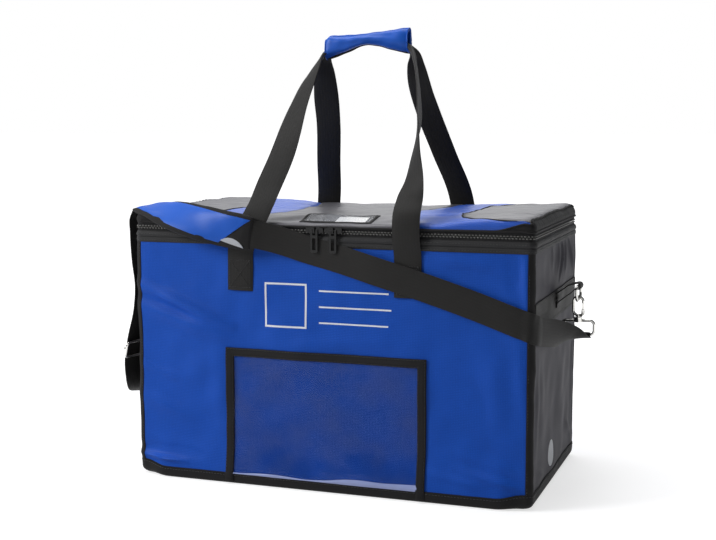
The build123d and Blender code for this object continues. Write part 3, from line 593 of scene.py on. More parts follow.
def woven(name, code, pitch, depth, roughness, sheen, mottle, ribs=None, coarse=0.05, shine=0.22):
    """Woven cloth on the piece's own UV, in metres: crossed threads at a pitch in millimetres, or ribs along
    and across, with a mottled dye and a soft unevenness between threads. The colour is painted lighter on the
    threads' crests and darker in the gaps between them, a painted highlight and shade of the weave mixed with
    a fine random grain."""
    material, tree, shader = start_material(name)
    if tree is None:
        return material
    set_sockets(shader, {"Roughness": roughness, "Sheen Weight": sheen, "Sheen Roughness": 0.45,
                         "Specular IOR Level": shine})
    uv = add_node(tree, "ShaderNodeUVMap", uv_map="cloth").outputs[0]
    pitches = ribs or (pitch, pitch)
    threads = [add_node(tree, "ShaderNodeTexWave", {"Scale": 0.314 / (p * MM), "Distortion": 0.6,
                                                    "Detail": 1.0, "Detail Scale": 1.5},
                        {"Vector": uv}, wave_type="BANDS", bands_direction=d).outputs["Fac"]
               for p, d in zip(pitches, "XY")]
    weave = add_node(tree, "ShaderNodeMath", links={0: threads[0], 1: threads[1]},
                     operation="MULTIPLY").outputs[0]
    cloud = add_node(tree, "ShaderNodeTexNoise", {"Scale": 34.0, "Detail": 5.0, "Roughness": 0.62},
                     {"Vector": uv}).outputs["Fac"]
    grain = add_node(tree, "ShaderNodeTexNoise", {"Scale": 900.0, "Detail": 2.0},
                     {"Vector": uv}).outputs["Fac"]
    mixed = add_node(tree, "ShaderNodeMath", {1: 0.5}, {0: weave}, operation="MULTIPLY").outputs[0]
    mixed = add_node(tree, "ShaderNodeMath", links={0: mixed, 1: grain}, operation="ADD").outputs[0]
    base = np.array(linear(code))[:3]
    dye = add_node(tree, "ShaderNodeMix", {"A": (*base * (1 - mottle), 1), "B": (*base * (1 + mottle), 1)},
                   {"Factor": cloud}, data_type="RGBA")
    # Painted light and shade of the weave: the colour is raised on the threads' crests and lowered between
    # them, with a fine random grain mixed in
    shade = add_node(tree, "ShaderNodeMapRange", {"From Min": 0.3, "From Max": 1.0, "To Min": 1 - coarse * 2,
                                                  "To Max": 1 + coarse}, {"Value": mixed}).outputs[0]
    colour = add_node(tree, "ShaderNodeMix", {"Factor": 1.0}, {"A": dye.outputs["Result"], "B": shade},
                      data_type="RGBA", blend_type="MULTIPLY")
    bump = add_node(tree, "ShaderNodeBump", {"Strength": 0.55, "Distance": depth * MM}, {"Height": mixed})
    wire(tree, shader, {"Base Color": colour.outputs["Result"], "Normal": bump.outputs[0]})
    return material


def moulded(name, code, roughness, metallic=0.0, depth=0.05, scale=160.0, **sockets):
    """A smooth hard finish on Object coordinates: slight unevenness in colour, gloss and surface."""
    material, tree, shader = start_material(name)
    if tree is None:
        return material
    set_sockets(shader, {"Metallic": metallic, **sockets})
    where = add_node(tree, "ShaderNodeTexCoord").outputs["Object"]
    noise = add_node(tree, "ShaderNodeTexNoise", {"Scale": scale, "Detail": 4.0},
                     {"Vector": where}).outputs["Fac"]
    base = np.array(linear(code))[:3]
    dye = add_node(tree, "ShaderNodeMix", {"A": (*base * 0.9, 1), "B": (*np.minimum(base * 1.1, 1), 1)},
                   {"Factor": noise}, data_type="RGBA")
    gloss = add_node(tree, "ShaderNodeMapRange", {"To Min": roughness * 0.9, "To Max": roughness * 1.1},
                     {"Value": noise})
    bump = add_node(tree, "ShaderNodeBump", {"Strength": 0.3, "Distance": depth * MM}, {"Height": noise})
    wire(tree, shader, {"Base Color": dye.outputs["Result"], "Roughness": gloss.outputs[0],
                        "Normal": bump.outputs[0]})
    return material


def blue_cloth(lid=False):
    """Coated plain-weave polyester, dyed blue, glossier on the lid where no wall foam presses it. Real
    threads are 0.5 mm apart, drawn at 2.2 mm to show."""
    if lid:
        return woven("blue coated polyester, lid", hex_of("blue"), 2.2, 0.4, 0.40, 0.05, 0.10, shine=0.5)
    return woven("blue coated polyester, plain weave", hex_of("blue"), 2.2, 0.5, 0.50, 0.0, 0.10,
                 coarse=0.11, shine=0.15)


def grey_cloth(lid=False):
    """Grey polyester of the same weave, satin on the lid and dull on the sides."""
    if lid:
        return woven("grey satin polyester, lid", hex_of("grey"), 2.0, 0.18, 0.40, 0.05, 0.08, shine=0.5)
    return woven("grey polyester, dull", hex_of("grey"), 2.0, 0.18, 0.60, 0.0, 0.08, shine=0.11)


def black_trim():
    """Coarse black polyester binding tape, dull, with fine cross ribs."""
    return woven("black polyester binding, woven", hex_of("trim"), 1.8, 0.30, 0.72, 0.05, 0.10,
                 ribs=(1.8, 6.0))


def webbing():
    """Flat polypropylene webbing: ribs across at 2 mm and warp columns at 4 mm."""
    return woven("black polypropylene webbing", hex_of("webbing"), 2.0, 0.35, 0.62, 0.05, 0.08,
                 ribs=(2.0, 4.2), coarse=0.09)


def zip_cloth():
    """Knitted zip tape, flat black."""
    return woven("black knitted zip tape", "#1d1d1e", 1.2, 0.2, 0.8, 0.1, 0.08)


def thread():
    """Bonded polyester sewing thread, slightly shiny."""
    return moulded("black polyester sewing thread", "#2c2c2d", 0.45, scale=900.0)


# Body

def build_walls():
    """Front and back in blue cloth, both sides in grey, each stretched over its foam."""
    z = np.r_[np.linspace(9, 46, 16), np.linspace(49, 290, 80), np.linspace(293, WALL_TOP + 1, 20)]
    seam = 3.0
    panels = [("front", 0.0, REACH_X, blue_cloth(), "blue_polyester", 220),
              ("right", RIGHT_MID, REACH_Y, grey_cloth(), "grey_polyester", 130),
              ("back", BACK_MID, REACH_X, blue_cloth(), "blue_polyester", 200),
              ("left", -RIGHT_MID, REACH_Y, grey_cloth(), "grey_polyester", 130)]
    for side, middle, reach, material, slot, count in panels:
        start, end = middle - reach - seam, middle + reach + seam
        s = np.linspace(start, end, count)[:, None]
        piece = wall_sheet(f"{side}_panel_cloth", s, z[None], 0.0, CLOTH, material)
        place(piece, "carrier", slot, f"{side}_panel")


def ring_steps(straight, turn):
    """Lengths round the ring, close together at the corners."""
    parts, start = [], -REACH_X
    for index, end in enumerate(ring_knots(REACH_X, REACH_Y) - REACH_X):
        count = turn if index % 2 else max(2, int((end - start) / straight))
        parts.append(np.linspace(start, end, count, endpoint=False))
        start = end
    return np.r_[np.concatenate(parts), start]


def build_trim():
    """Base tray, corner bindings and rim band, in the same coarse black cloth."""
    s = ring_steps(5.0, 9)
    build_base_tray(s)
    build_corner_bindings()
    build_rim_band(s)


def build_base_tray(s):
    """Cloth up the outside of the wall's foot: a quarter roll on the floor, a straight rise to the trim line
    and a turned edge; then its underside and its stitches."""
    turn = np.linspace(np.pi / 2, 0, 9)[None]
    radius = (10 - 5.5 * sag(s))[:, None]
    top = trim_line(s)[:, None]
    rise = radius + (top - radius) * np.linspace(0.15, 1, 6)[None]
    z = np.concatenate([radius * (1 - np.sin(turn)), rise, top + 0.6], 1)
    drawn_in = np.concatenate([radius * (1 - np.cos(turn)), np.zeros((len(s), 7))], 1)
    ss, z = np.broadcast_arrays(s[:, None], z)
    lift = 1.6 + 0.4 * ripples(ss, z, 12, 60) * smooth(z / 12) - 0.9 * (z > top + 0.3)
    outer = wall(ss, z, lift)
    point, out = ring(s)
    depth = 30.0
    inward = (inner_ring(s, depth)[0] - point)[:, None] / depth
    outer[..., :2] += inward * drawn_in[..., None]
    inner = outer + np.r_[np.linspace(1.6, 0.2, 9), np.zeros(7)][None, :, None] * (0, 0, 1)
    inner[..., :2] -= 1.5 * out[:, None]
    tray = solid_sheet("base_tray_trim", outer, inner, flat_uv(ss, z), black_trim(), wrap=True)
    place(tray, "carrier", "black_trim", "base_tray")
    loop = np.r_[outer[:-1, 0], outer[:1, 0]]
    under = np.stack([loop * (share, share, 1) for share in (1, 0.5, 0.02)], 1)
    under[..., 2] = 0.25
    bottom = solid_sheet("base_underside", under, under + (0, 0, CLOTH),
                         flat_uv(under[..., 0], under[..., 1]), black_trim(), wrap=True)
    place(bottom, "carrier", "black_trim")
    place(wall_stitches("base_tray_stitches", s, trim_line(s) - 2.4, 1.75, 4.4, 3.0, 0.7), "carrier",
          "black_trim")


def build_corner_bindings():
    """A bound seam up each corner: a low half-round crown, stitched along both edges."""
    z = np.linspace(TRIM_TOP - 3, WALL_TOP + 1, 90)
    reach = 5.8
    across = np.linspace(-reach, reach, 17)
    crown = 1.3 * np.sqrt(np.clip(1 - (across / (reach + 0.4)) ** 2, 0, 1))[:, None]
    front, back = REACH_X + QUARTER / 2, RIGHT_MID + REACH_Y + QUARTER / 2
    strips = []
    for index, middle in enumerate((front, back, -back, -front)):
        s, zz = np.meshgrid(middle + across, z, indexing="ij")
        lift = crown + 0.18 * ripples(s, zz, 40 + index, 26)
        strips.append(solid_sheet(f"corner_binding_{index}", wall(s, zz, lift + 0.1), wall(s, zz, lift - 0.8),
                                  flat_uv(zz, s), black_trim()))
        strips += [wall_stitches("corner_stitches", middle + side * (reach - 1.6), z, 0.65, length=2.6)
                   for side in (-1, 1)]
    place(merge("corner_bindings_trim", strips), "carrier", "black_trim", "corner_bindings")


def build_rim_band(s):
    """A bound lower edge, a groove and a plumper upper roll, then the cap over the foam, and two rows of
    stitches."""
    profile = np.array([(WALL_TOP - 2.5, 0.5), (WALL_TOP - 1.6, 1.5), (WALL_TOP + 1.5, 1.9),
                        (WALL_TOP + 4.2, 1.7), (WALL_TOP + 5.0, 0.7), (WALL_TOP + 5.8, 1.3),
                        (WALL_TOP + 7.6, 2.3), (WALL_TOP + 10, 2.1), (WALL_TOP + 12.2, 1.2),
                        (RIM_TOP - 2.6, 0.1)])
    ss, zz = np.meshgrid(s, profile[:, 0], indexing="ij")
    lift = profile[:, 1] + 0.28 * ripples(ss, zz, 17, 42) * np.clip(profile[:, 1], 0, 1)
    rim, out = ring(s)
    mouth, _ = inner_ring(s, LINER_INSET)
    cap = [np.c_[rim + (mouth - rim) * share, np.full(len(s), RIM_TOP - drop)]
           for share, drop in ((0.1, 2.5), (0.34, 0.4), (0.7, 0.0), (0.96, 0.15), (1.0, 1.2))]
    outer = np.concatenate([wall(ss, zz, lift), np.stack(cap, 1)], 1)
    inner = outer.copy()
    inner[:, :len(profile), :2] -= out[:, None]
    inner[:, len(profile):, 2] -= 1.0
    v = np.r_[profile[:, 0], RIM_TOP + np.linspace(1, 15, len(cap))]
    piece = solid_sheet("rim_band_trim", outer, inner, flat_uv(s[:, None], v[None]), rim_cloth(), wrap=True)
    place(piece, "carrier", "black_trim", "rim_band")
    for height in (WALL_TOP + 0.6, WALL_TOP + 9.4):
        place(wall_stitches(f"rim_stitches_{height:.0f}", s, height, 2.0), "carrier", "black_trim")


def rim_cloth():
    """The binding's cloth drawn over a soft roll, in a paler copy of the black binding."""
    return woven("charcoal polyester binding, woven", "#2f2f30", 1.8, 0.3, 0.66, 0.08, 0.1, ribs=(1.8, 5.0))


# Zip

def build_zip():
    """Two rows of moulded teeth on their tapes, with the moving parts in black enamel."""
    reach = RIGHT_MID + REACH_Y
    pitch = 4.6
    sunk = 0.1
    rows = [("lower_zip_teeth", LOWER_TEETH, "carrier", 0.0),
            ("upper_zip_teeth", UPPER_TEETH, "lid", pitch / 2)]
    for node, box, body, offset in rows:
        s = np.arange(-reach + offset, reach, pitch)
        out = level_out(s)
        middle = (box[0][2] + box[1][2]) / 2 - ZIP_DROP
        places = np.c_[ring(s)[0], np.full(len(s), middle)] - out * sunk
        along = np.cross((0, 0, 1.0), out)
        teeth = repeat(node + "_row", capsule(2.9, 2.0, 2.9), places, along, out, tooth_finish())
        place(teeth, body, "zip_teeth", node)
    s = np.linspace(-reach, reach, 420)
    tapes = [("lower_zip_tape", "carrier", (RIM_TOP, RIM_TOP + 1.5, LOWER_TEETH[0][2], LOWER_TEETH[1][2])),
             ("upper_zip_tape", "lid",
              (UPPER_TEETH[0][2], UPPER_TEETH[1][2], LID_BOTTOM - 1.5, LID_BOTTOM + 2))]
    for node, body, heights in tapes:
        ss, zz = np.meshgrid(s, np.array(heights) - ZIP_DROP, indexing="ij")
        wave = 0.15 * np.sin(ss / 3.1)
        place(wall_sheet(node + "_cloth", ss, zz, wave - 0.5, 0.8, zip_cloth()), body, "zip_tape", node)
    enamel = moulded("black enamelled zinc, die cast", "#050506", 0.2, scale=300.0, depth=0.03,
                     **{"Specular IOR Level": 0.35})
    for side in ("left", "right"):
        for part in ("slider", "puller"):
            dress(f"{side}_zip_{part}", enamel)
    build_hinge()


def build_hinge():
    """Hinge cloth at the back, sewn to body and lid."""
    x, z = np.meshgrid(np.linspace(-REACH_X, REACH_X, 140), np.linspace(RIM_TOP - 6, LID_BOTTOM + 6, 13),
                       indexing="ij")
    outer = np.stack([x, HALF_Y - 0.4 + 0.25 * ripples(x, z, 2, 30), z], -1)
    hinge = solid_sheet("hinge_cloth", outer, outer - (0, 0.9, 0), flat_uv(x, z), black_trim())
    place(hinge, "carrier", "zip_tape", "hinge_strip",
          bend=("lid", np.array([0, HALF_Y, RIM_TOP + 5]), np.array([0, HALF_Y, LID_BOTTOM + 4])))


def tooth_finish():
    """Moulded acetal zip teeth: charcoal with a faint shine that catches the light in dots."""
    return moulded("charcoal acetal zip teeth, moulded", "#6f6e6b", 0.35, scale=400.0)


def dress(node, material):
    """A solid that keeps its shape gets a new finish."""
    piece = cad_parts[node]
    if piece.material_slots:
        for slot in piece.material_slots:
            slot.material = material
    else:
        piece.data.materials.append(material)


# Lid

def lid_rows(x):
    """Rows of y for a lid cloth: from its lip at the front, closer together near both edges, to its lip at
    the back."""
    middle = edge_steps(LID_HALF_Y, 150)
    front = LID_FLAT[0] - front_lip(x)
    share = np.linspace(0, 1, FRONT_ROWS + 1)[:-1, None]
    before = front + (middle[0] - front) * share
    after = np.broadcast_to(LID_FLAT[1] + np.array([[LIP - 1], [LIP]]), (2, x.shape[1]))
    return np.concatenate([before, np.broadcast_to(middle[:, None], (len(middle), x.shape[1])), after])


def build_lid():
    """Grey middle and ends, blue wings between them, all drawn over one soft crown. Over the lips the seams
    run on straight."""
    y = np.r_[np.full(FRONT_ROWS, LID_MIDDLE - LID_HALF_Y), edge_steps(LID_HALF_Y, 150),
              np.full(2, LID_HALF_Y)][:, None]
    seam = wing_edge(y)
    oval = np.where(np.abs(y - LID_MIDDLE) >= LID_HALF_Y - 0.01, LID_RIM, end_edge(y))
    x = -seam + 2 * seam * np.linspace(0, 1, 90)[None]
    centre = lid_sheet("lid_centre_cloth", x, lid_rows(x[:1]), grey_cloth(lid=True))
    place(centre, "lid", "grey_polyester", "lid_centre_panel")
    wings, ends = [], []
    share = np.linspace(0, 1, 46)[None]
    y_end = edge_steps(END_REACH, 150)[:, None]
    inner = end_edge(y_end)
    for side in (-1, 1):
        x = side * (seam + (oval - seam) * share)
        wings.append(lid_sheet(f"lid_wing_{side}", x, lid_rows(x[:1]), blue_cloth(lid=True)))
        x = side * (inner + (LID_RIM - inner) * share)
        ends.append(lid_sheet(f"lid_end_{side}", x, y_end, grey_cloth(lid=True), lift=0.05))
    place(merge("lid_wing_cloth", wings), "lid", "blue_polyester", "lid_wing_panels")
    place(merge("lid_end_cloth", ends), "lid", "grey_polyester", "lid_end_panels")
    build_lid_edge()
    build_lid_cords()
    build_seam_stitches()


def edge_loop(extra_x=0.0, extra_y=0.0):
    """Unrolled loop round the edge of the lid's flat: its points, the directions outwards, and how far out
    the coloured cloth reaches, by lips for the sides and for the front and back."""
    low, high = np.array([-LID_FLAT_X, LID_FLAT[0]]), np.array([LID_FLAT_X, LID_FLAT[1]])
    spacing, turn = 4.0, 9
    corners = [(-1, -1), (1, -1), (1, 1), (-1, 1), (-1, -1)]
    centre, half = (low + high) / 2, (high - low) / 2
    rows, outs = [], []
    for index, (start, end) in enumerate(zip(corners, corners[1:])):
        a, b = centre + half * start, centre + half * end
        count = int(np.linalg.norm(b - a) / spacing)
        heading = (index - 1) * np.pi / 2
        rows.append(a + (b - a) * np.linspace(0, 1, count)[:, None])
        outs.append(np.tile((np.cos(heading), np.sin(heading)), (count, 1)))
        arc = heading + np.linspace(0, np.pi / 2, turn)[1:-1]
        rows.append(np.tile(b, (turn - 2, 1)))
        outs.append(np.stack([np.cos(arc), np.sin(arc)], -1))
    row, out = np.concatenate(rows), np.concatenate(outs)
    row, out = np.r_[row, row[:1]], np.r_[out, out[:1]]
    longer = (front_lip(row[:, 0]) - LIP) * np.clip(-out[:, 1], 0, 1) ** 2
    return row, out, extra_x * np.abs(out[:, 0]) + extra_y * np.abs(out[:, 1]) + longer


def build_lid_edge():
    """Black cloth from the coloured panels down to the zip, gathered in small ribs."""
    row, out, start = edge_loop(LID_RIM - LID_FLAT_X - 0.6, LIP - 0.6)
    share = np.linspace(0, 1, 12)[None]
    reach = start[:, None] + (LID_DROP - start[:, None]) * share
    flat = row[:, None] + out[:, None] * reach[..., None]
    outer = lid_skin(flat[..., 0], flat[..., 1])
    along = np.r_[0, np.cumsum(np.linalg.norm(np.diff(outer[:, 6], axis=0), axis=1))][:, None]
    on_end = np.abs(out[:, :1])
    roll = 1.1 * np.sin(np.pi * share) * (0.4 + 0.6 * on_end) + 0.3
    gather = 0.32 * np.sin(along / 1.9 + 1.3 * np.sin(along / 13)) * np.sin(np.pi * share)
    face = np.concatenate([np.broadcast_to(out[:, None], outer.shape[:2] + (2,)),
                           np.full(outer.shape[:2] + (1,), 0.25)], -1)
    face /= np.linalg.norm(face, axis=-1, keepdims=True)
    outer = outer + face * (roll + gather)[..., None]
    piece = solid_sheet("lid_border_trim", outer, outer - face * 1.3, flat_uv(along, reach), black_trim(),
                        wrap=True)
    place(piece, "lid", "black_trim", "lid_border")


def cord_along(name, line, radius, material, close=False):
    """A round piping cord: a small circle of eight points carried along a line of points."""
    sides = 8
    step = np.gradient(line, axis=0)
    if close:
        step[0] = step[-1] = line[1] - line[-2]
    step /= np.maximum(np.linalg.norm(step, axis=1, keepdims=True), 1e-9)
    side = np.cross(step, (0, 0, 1.0))
    side /= np.maximum(np.linalg.norm(side, axis=1, keepdims=True), 1e-9)
    up = np.cross(side, step)
    turn = np.linspace(0, 2 * np.pi, sides + 1)[:-1]
    rows = len(line) - 1 if close else len(line)
    grid = (line[:, None] + radius * (np.cos(turn)[None, :, None] * side[:, None]
                                      + np.sin(turn)[None, :, None] * up[:, None]))[:rows]
    i, j = np.meshgrid(np.arange(rows if close else rows - 1), np.arange(sides), indexing="ij")
    i, j = i.ravel(), j.ravel()
    ring_of = {0: i * sides, 1: (i + 1) % rows * sides}
    steps = ((0, 0), (0, 1), (1, 1), (1, 0))
    quads = np.stack([ring_of[a] + (j + b) % sides for a, b in steps], -1)
    length = np.r_[0, np.cumsum(np.linalg.norm(np.diff(line, axis=0), axis=1))]
    spot = np.stack([flat_uv(length[np.minimum(i + a, len(length) - 1)], (j + b) * 1.2) for a, b in steps], 1)
    faces, uvs = [quads], [spot]
    if not close:
        first = np.arange(sides)[None]
        faces += [first[:, ::-1], (rows - 1) * sides + first]
        uvs += [np.zeros((1, sides, 2))] * 2
    return write_mesh(name, grid.reshape(-1, 3), faces, uvs, material, 1.2)


def build_lid_cords():
    """Black piping: round each end colour, along the lid's edge, and at its foot from the front left corner
    along the front, the right side and part of the back."""
    y = edge_steps(END_REACH, 200)
    cords = []
    for side in (-1, 1):
        line = lid_skin(side * end_edge(y), y) + (0, 0, 0.5)
        cords.append(cord_along(f"end_piping_{side}", line, 1.15, black_trim()))
    row, out, start = edge_loop(LID_RIM - LID_FLAT_X - 0.2, LIP - 0.2)
    flat = row + out * start[:, None]
    line = lid_skin(flat[:, 0], flat[:, 1]) + np.c_[out, np.full(len(out), 0.6)] * 0.7
    cords.append(cord_along("edge_piping", line, 1.25, black_trim(), close=True))
    row, out, _ = edge_loop()
    flat = row + out * (LID_DROP - 1.4)
    line = lid_skin(flat[:, 0], flat[:, 1]) + np.c_[out, np.zeros(len(out))] * 0.9
    count = np.count_nonzero(flat[:-1, 1] < LID_FLAT[1])
    cords.append(cord_along("foot_piping", line[:count], 1.4, black_trim()))
    place(merge("lid_piping_cords", cords), "lid", "black_trim", "lid_piping")


def build_seam_stitches():
    """Grey stitches beside both seams of the lid's middle."""
    y = np.linspace(-148, 147, 160)
    up = np.tile((0, 0, 1.0), (len(y), 1))
    stitches = [stitch_line("seam_stitches", lid_skin(side * (wing_edge(y) - 3.2), y), up, 4.4, grey_thread())
                for side in (-1, 1)]
    place(merge("lid_seam_stitches", stitches), "lid", "grey_polyester")


def grey_thread():
    """Polyester sewing thread in the cloth's own grey."""
    return moulded("grey polyester sewing thread", "#6a6970", 0.5, scale=900.0)


def build_card_holder():
    """Clear card pocket on the lid: a bound edge, a black backing, a plain white card in its right part and
    a bowed film."""
    (x0, y0), (x1, y1) = limits("card_holder_frame")[:, :2] + CARD_SHIFT
    wide = 5.5
    up = np.array([0, 0, 1.0])
    flat = frame_grid(rectangle(x0, y0, x1, y1), rectangle(x0, y0, x1, y1, wide), 22, 7)
    crown = 0.5 + 1.0 * np.sin(np.pi * np.linspace(0, 1, 7))[None]
    top = lid_skin(flat[..., 0], flat[..., 1])
    edge = solid_sheet("card_holder_edge", top + crown[..., None] * up, top - 0.2 * up,
                       flat_uv(flat[..., 0], flat[..., 1]), black_trim(), wrap=True)
    place(edge, "lid", "card_frame", "card_holder_frame")
    x, y = np.meshgrid(np.linspace(x0 + wide - 1, x1 - wide + 1, 40),
                       np.linspace(y0 + wide - 1, y1 - wide + 1, 20), indexing="ij")
    bed = lid_skin(x, y)
    backing = solid_sheet("card_holder_backing", bed + 0.3 * up, bed - 0.1 * up, flat_uv(x, y), black_trim())
    place(backing, "lid", "card_frame")
    card_x, card_y = np.meshgrid(np.linspace(x0 + 0.48 * (x1 - x0), x1 - wide - 6, 24),
                                 np.linspace(y0 + wide, y1 - wide - 9, 14), indexing="ij")
    card = lid_skin(card_x, card_y) + 0.75 * up
    paper = solid_sheet("plain_card", card, card - 0.35 * up, flat_uv(card_x, card_y), card_paper())
    place(paper, "lid", "card_frame")
    bow = 0.7 * np.sin(np.pi * (x - x.min()) / np.ptp(x)) + 0.25 * ripples(x, y, 4, 30)
    skin = bed + (1.1 + np.maximum(bow, 0))[..., None] * up
    film = clear_vinyl("clear card film, calendered", "#d5d8e0", 0.08, 0.3)
    place(solid_sheet("card_window_film", skin, skin - 0.4 * up, flat_uv(x, y), film), "lid", "clear_vinyl",
          "card_window")


def card_paper():
    """Uncoated white card."""
    return moulded("white card, uncoated", "#e9e9e7", 0.85, scale=500.0)


def clear_vinyl(name="clear flexible vinyl, calendered", code="#1b48a4", least=0.16, most=0.40):
    """Clear flexible vinyl, calendered: a thin see-through film with a soft shine and shallow waves. It
    takes up the colour behind it."""
    material, tree, shader = start_material(name)
    if tree is None:
        return material
    set_sockets(shader, {"Base Color": linear(code), "Roughness": 0.2, "Alpha": 0.3,
                         "Specular IOR Level": 0.45})
    uv = add_node(tree, "ShaderNodeUVMap", uv_map="cloth").outputs[0]
    noise = add_node(tree, "ShaderNodeTexNoise", {"Scale": 15.0, "Detail": 1.5},
                     {"Vector": uv}).outputs["Fac"]
    haze = add_node(tree, "ShaderNodeMapRange", {"From Min": 0.35, "From Max": 0.75, "To Min": least,
                                                 "To Max": most}, {"Value": noise}).outputs[0]
    bump = add_node(tree, "ShaderNodeBump", {"Strength": 0.35, "Distance": 0.9 * MM}, {"Height": noise})
    wire(tree, shader, {"Alpha": haze, "Normal": bump.outputs[0]})
    return material


# Front pocket and plain print

# Folds in the pocket's film: x, z of both ends, half width and height
POCKET_FOLDS = [(-138, 176, -60, 110, 12, 0.9), (-130, 150, -80, 96, 8, -0.7), (60, 40, 130, 110, 16, 0.8),
                (-20, 180, 90, 166, 9, 0.6), (10, 60, 60, 30, 10, 0.6)]


def build_pocket():
    """Document pocket: clear film behind a bound edge whose ends run down over the base trim, its stitches
    and the film's folded hem."""
    low, high = limits("pocket_binding")
    x0, x1, top = low[0], high[0], high[2] - 1.5
    wide = 12.0
    outer = np.array([(x0, 4), (x0, top), (x1, top), (x1, 3)])
    inner = np.array([(x0 + wide, 4), (x0 + wide, top - wide), (x1 - wide, top - wide), (x1 - wide, 3)])
    flat = frame_grid(outer, inner, 60, 9)
    s, z = flat[..., 0], flat[..., 1]
    share = np.linspace(0, 1, 9)[None]
    low_end = smooth((trim_line(s) + 4 - z) / 4)
    crown = 2.0 + 1.0 * np.sin(np.pi * share) ** 0.6 + 0.2 * ripples(s, z, 14, 34) + 0.8 * low_end
    piece = solid_sheet("pocket_binding_trim", wall(s, z, crown), wall(s, z, 0.15 + 1.2 * low_end),
                        flat_uv(z, s), black_trim())
    place(piece, "carrier", "black_trim", "pocket_binding")
    for edge, shift in (("outer", 1.3), ("inner", wide - 1.3)):
        route = outer + shift * np.array([(1, 0), (1, -1), (-1, -1), (-1, 0)])
        line = frame_grid(route, inner, 60, 2)[:, 0]
        out = np.tile((0, -1.0, 0), (len(line), 1))
        place(stitch_line(f"pocket_stitches_{edge}", wall(line[:, 0], line[:, 1], 2.75), out, 4.4, thread()),
              "carrier", "black_trim")
    x = np.linspace(x0 + wide - 2, x1 - wide + 2, 90)[:, None]
    foot, head = trim_line(x) + 0.6, top - wide + 2
    x, z = np.broadcast_arrays(x, foot + (head - foot) * np.linspace(0, 1, 56)[None])
    across, rise = (x - x.min()) / np.ptp(x), (z - foot) / (head - foot)
    lift = 1.0 + 0.9 * np.sin(np.pi * across) * np.sin(np.pi * rise)
    lift = lift + creases(x, z, POCKET_FOLDS) + 0.22 * ripples(x, z, 33, 55)
    place(wall_sheet("pocket_window_film", x, z, lift, 0.4, clear_vinyl()), "carrier", "clear_vinyl",
          "pocket_window")
    # Folded hem of the film: a pale strip along the pocket's foot, partly milky doubled vinyl and partly a
    # painted highlight.
    x = x[:, :1]
    share = np.linspace(0, 1, 6)[None]
    tall = 3.0 + 5.5 * smooth(x / 60) - 1.2 * smooth((x - 60) / 70) + 1.2 * np.sin(x / 17)
    lift = 1.9 + 0.9 * np.sin(np.pi * share)
    place(wall_sheet("pocket_film_hem", x, trim_line(x) - 0.4 + tall * share, lift, 0.6, hem_vinyl()),
          "carrier", "clear_vinyl")


def hem_vinyl():
    """The vinyl's folded hem: four layers, so it looks milky; its pale colour is also a painted highlight,
    the bright line along the foot of the pocket film.
    """
    return moulded("folded vinyl hem, milky", "#9aa6d6", 0.30, scale=60.0, **{"Coat Weight": 0.3})


def build_print():
    """Plain printing in white ink: a write-on field on the front, of a square outline and three ruled lines,
    and a round disc on the right side."""
    square, wide = (-88.0, 226.0, -26.0, 288.0), 2.6
    ink = {"lift": 0.14, "thickness": 0.34, "material": white_ink()}
    flat = frame_grid(rectangle(*square), rectangle(*square, wide), 24, 3)
    pieces = [wall_sheet("print_square", flat[..., 0], flat[..., 1], wrap=True, **ink)]
    for index, (middle, end) in enumerate(((279.0, 92.0), (257.0, 96.0), (235.0, 92.0))):
        x, z = np.linspace(-8, end, 40)[:, None], np.linspace(middle - 1.1, middle + 1.1, 3)[None]
        pieces.append(wall_sheet(f"print_line_{index}", x, z, **ink))
    place(merge("plain_printed_field", pieces), "carrier", "blue_polyester")
    radius = 18.5
    u, v = np.meshgrid(np.linspace(-1, 1, 25), np.linspace(-1, 1, 25), indexing="ij")
    s = RIGHT_MID - 24 + radius * u * np.sqrt(1 - v ** 2 / 2)
    z = 47 + radius * v * np.sqrt(1 - u ** 2 / 2)
    place(wall_sheet("plain_round_print", s, z, 0.2, 0.5, white_ink()), "carrier", "grey_polyester")


def white_ink():
    """Screen-printed white ink: matt, with the weave faintly through it."""
    return woven("white screen-printed ink", "#eceef2", 2.2, 0.12, 0.6, 0.0, 0.03, coarse=0.02)


# Handles

# Stations of each leg: x, y, z, twist in degrees, width and thickness
FRONT_LEFT = [(-124.5, -152.8, 275, 0, 38, 2.2), (-124, -153.0, 306, 0, 38, 2.2),
              (-122.5, -154.0, 334, 0, 38, 2.2), (-115, -159.6, 352, 0, 38, 2.2),
              (-104, -160.2, 368, 0, 37, 2.2), (-95.5, -156.0, 386, 0, 37, 2.2),
              (-88, -132, 422, 2, 38, 2.2), (-81, -110, 455, 0, 38, 2.2), (-73, -61, 530, -30, 38, 2.2),
              (-64, -33, 573, -46, 34, 2.4), (-58.5, -13, 595, -64, 21, 3.8),
              (-53, -5.6, 605, -82, 11, 5.6), (-47, -4.4, 610, -88, 8.6, 6.0),
              (-38, -4.4, 613, -88, 8.6, 6.0), (-26, -4.5, 616, -88, 9, 6.0)]
FRONT_RIGHT = [(119, -152.8, 275, 0, 38, 2.2), (119, -153.0, 306, 0, 38, 2.2),
               (119, -154.0, 334, 0, 38, 2.2), (118.6, -159.6, 352, 0, 38, 2.2),
               (118.4, -160.2, 368, 0, 38, 2.2), (118, -157.0, 384, 0, 38, 2.2),
               (117.8, -140, 408, -10, 38, 2.2), (118.2, -128, 428, -34, 38, 2.2),
               (114, -106, 464, -59, 38, 2.2), (110.2, -76, 510, -80, 38, 2.2),
               (99, -43, 558, -78, 36, 2.3), (88, -22, 590, -78, 25, 3.4), (80, -9.5, 606, -84, 14, 5.0),
               (74.5, -5.2, 613, -88, 9.6, 6.0), (66, -4.5, 617, -88, 8.8, 6.0),
               (44, -4.5, 619, -88, 9, 6.0)]
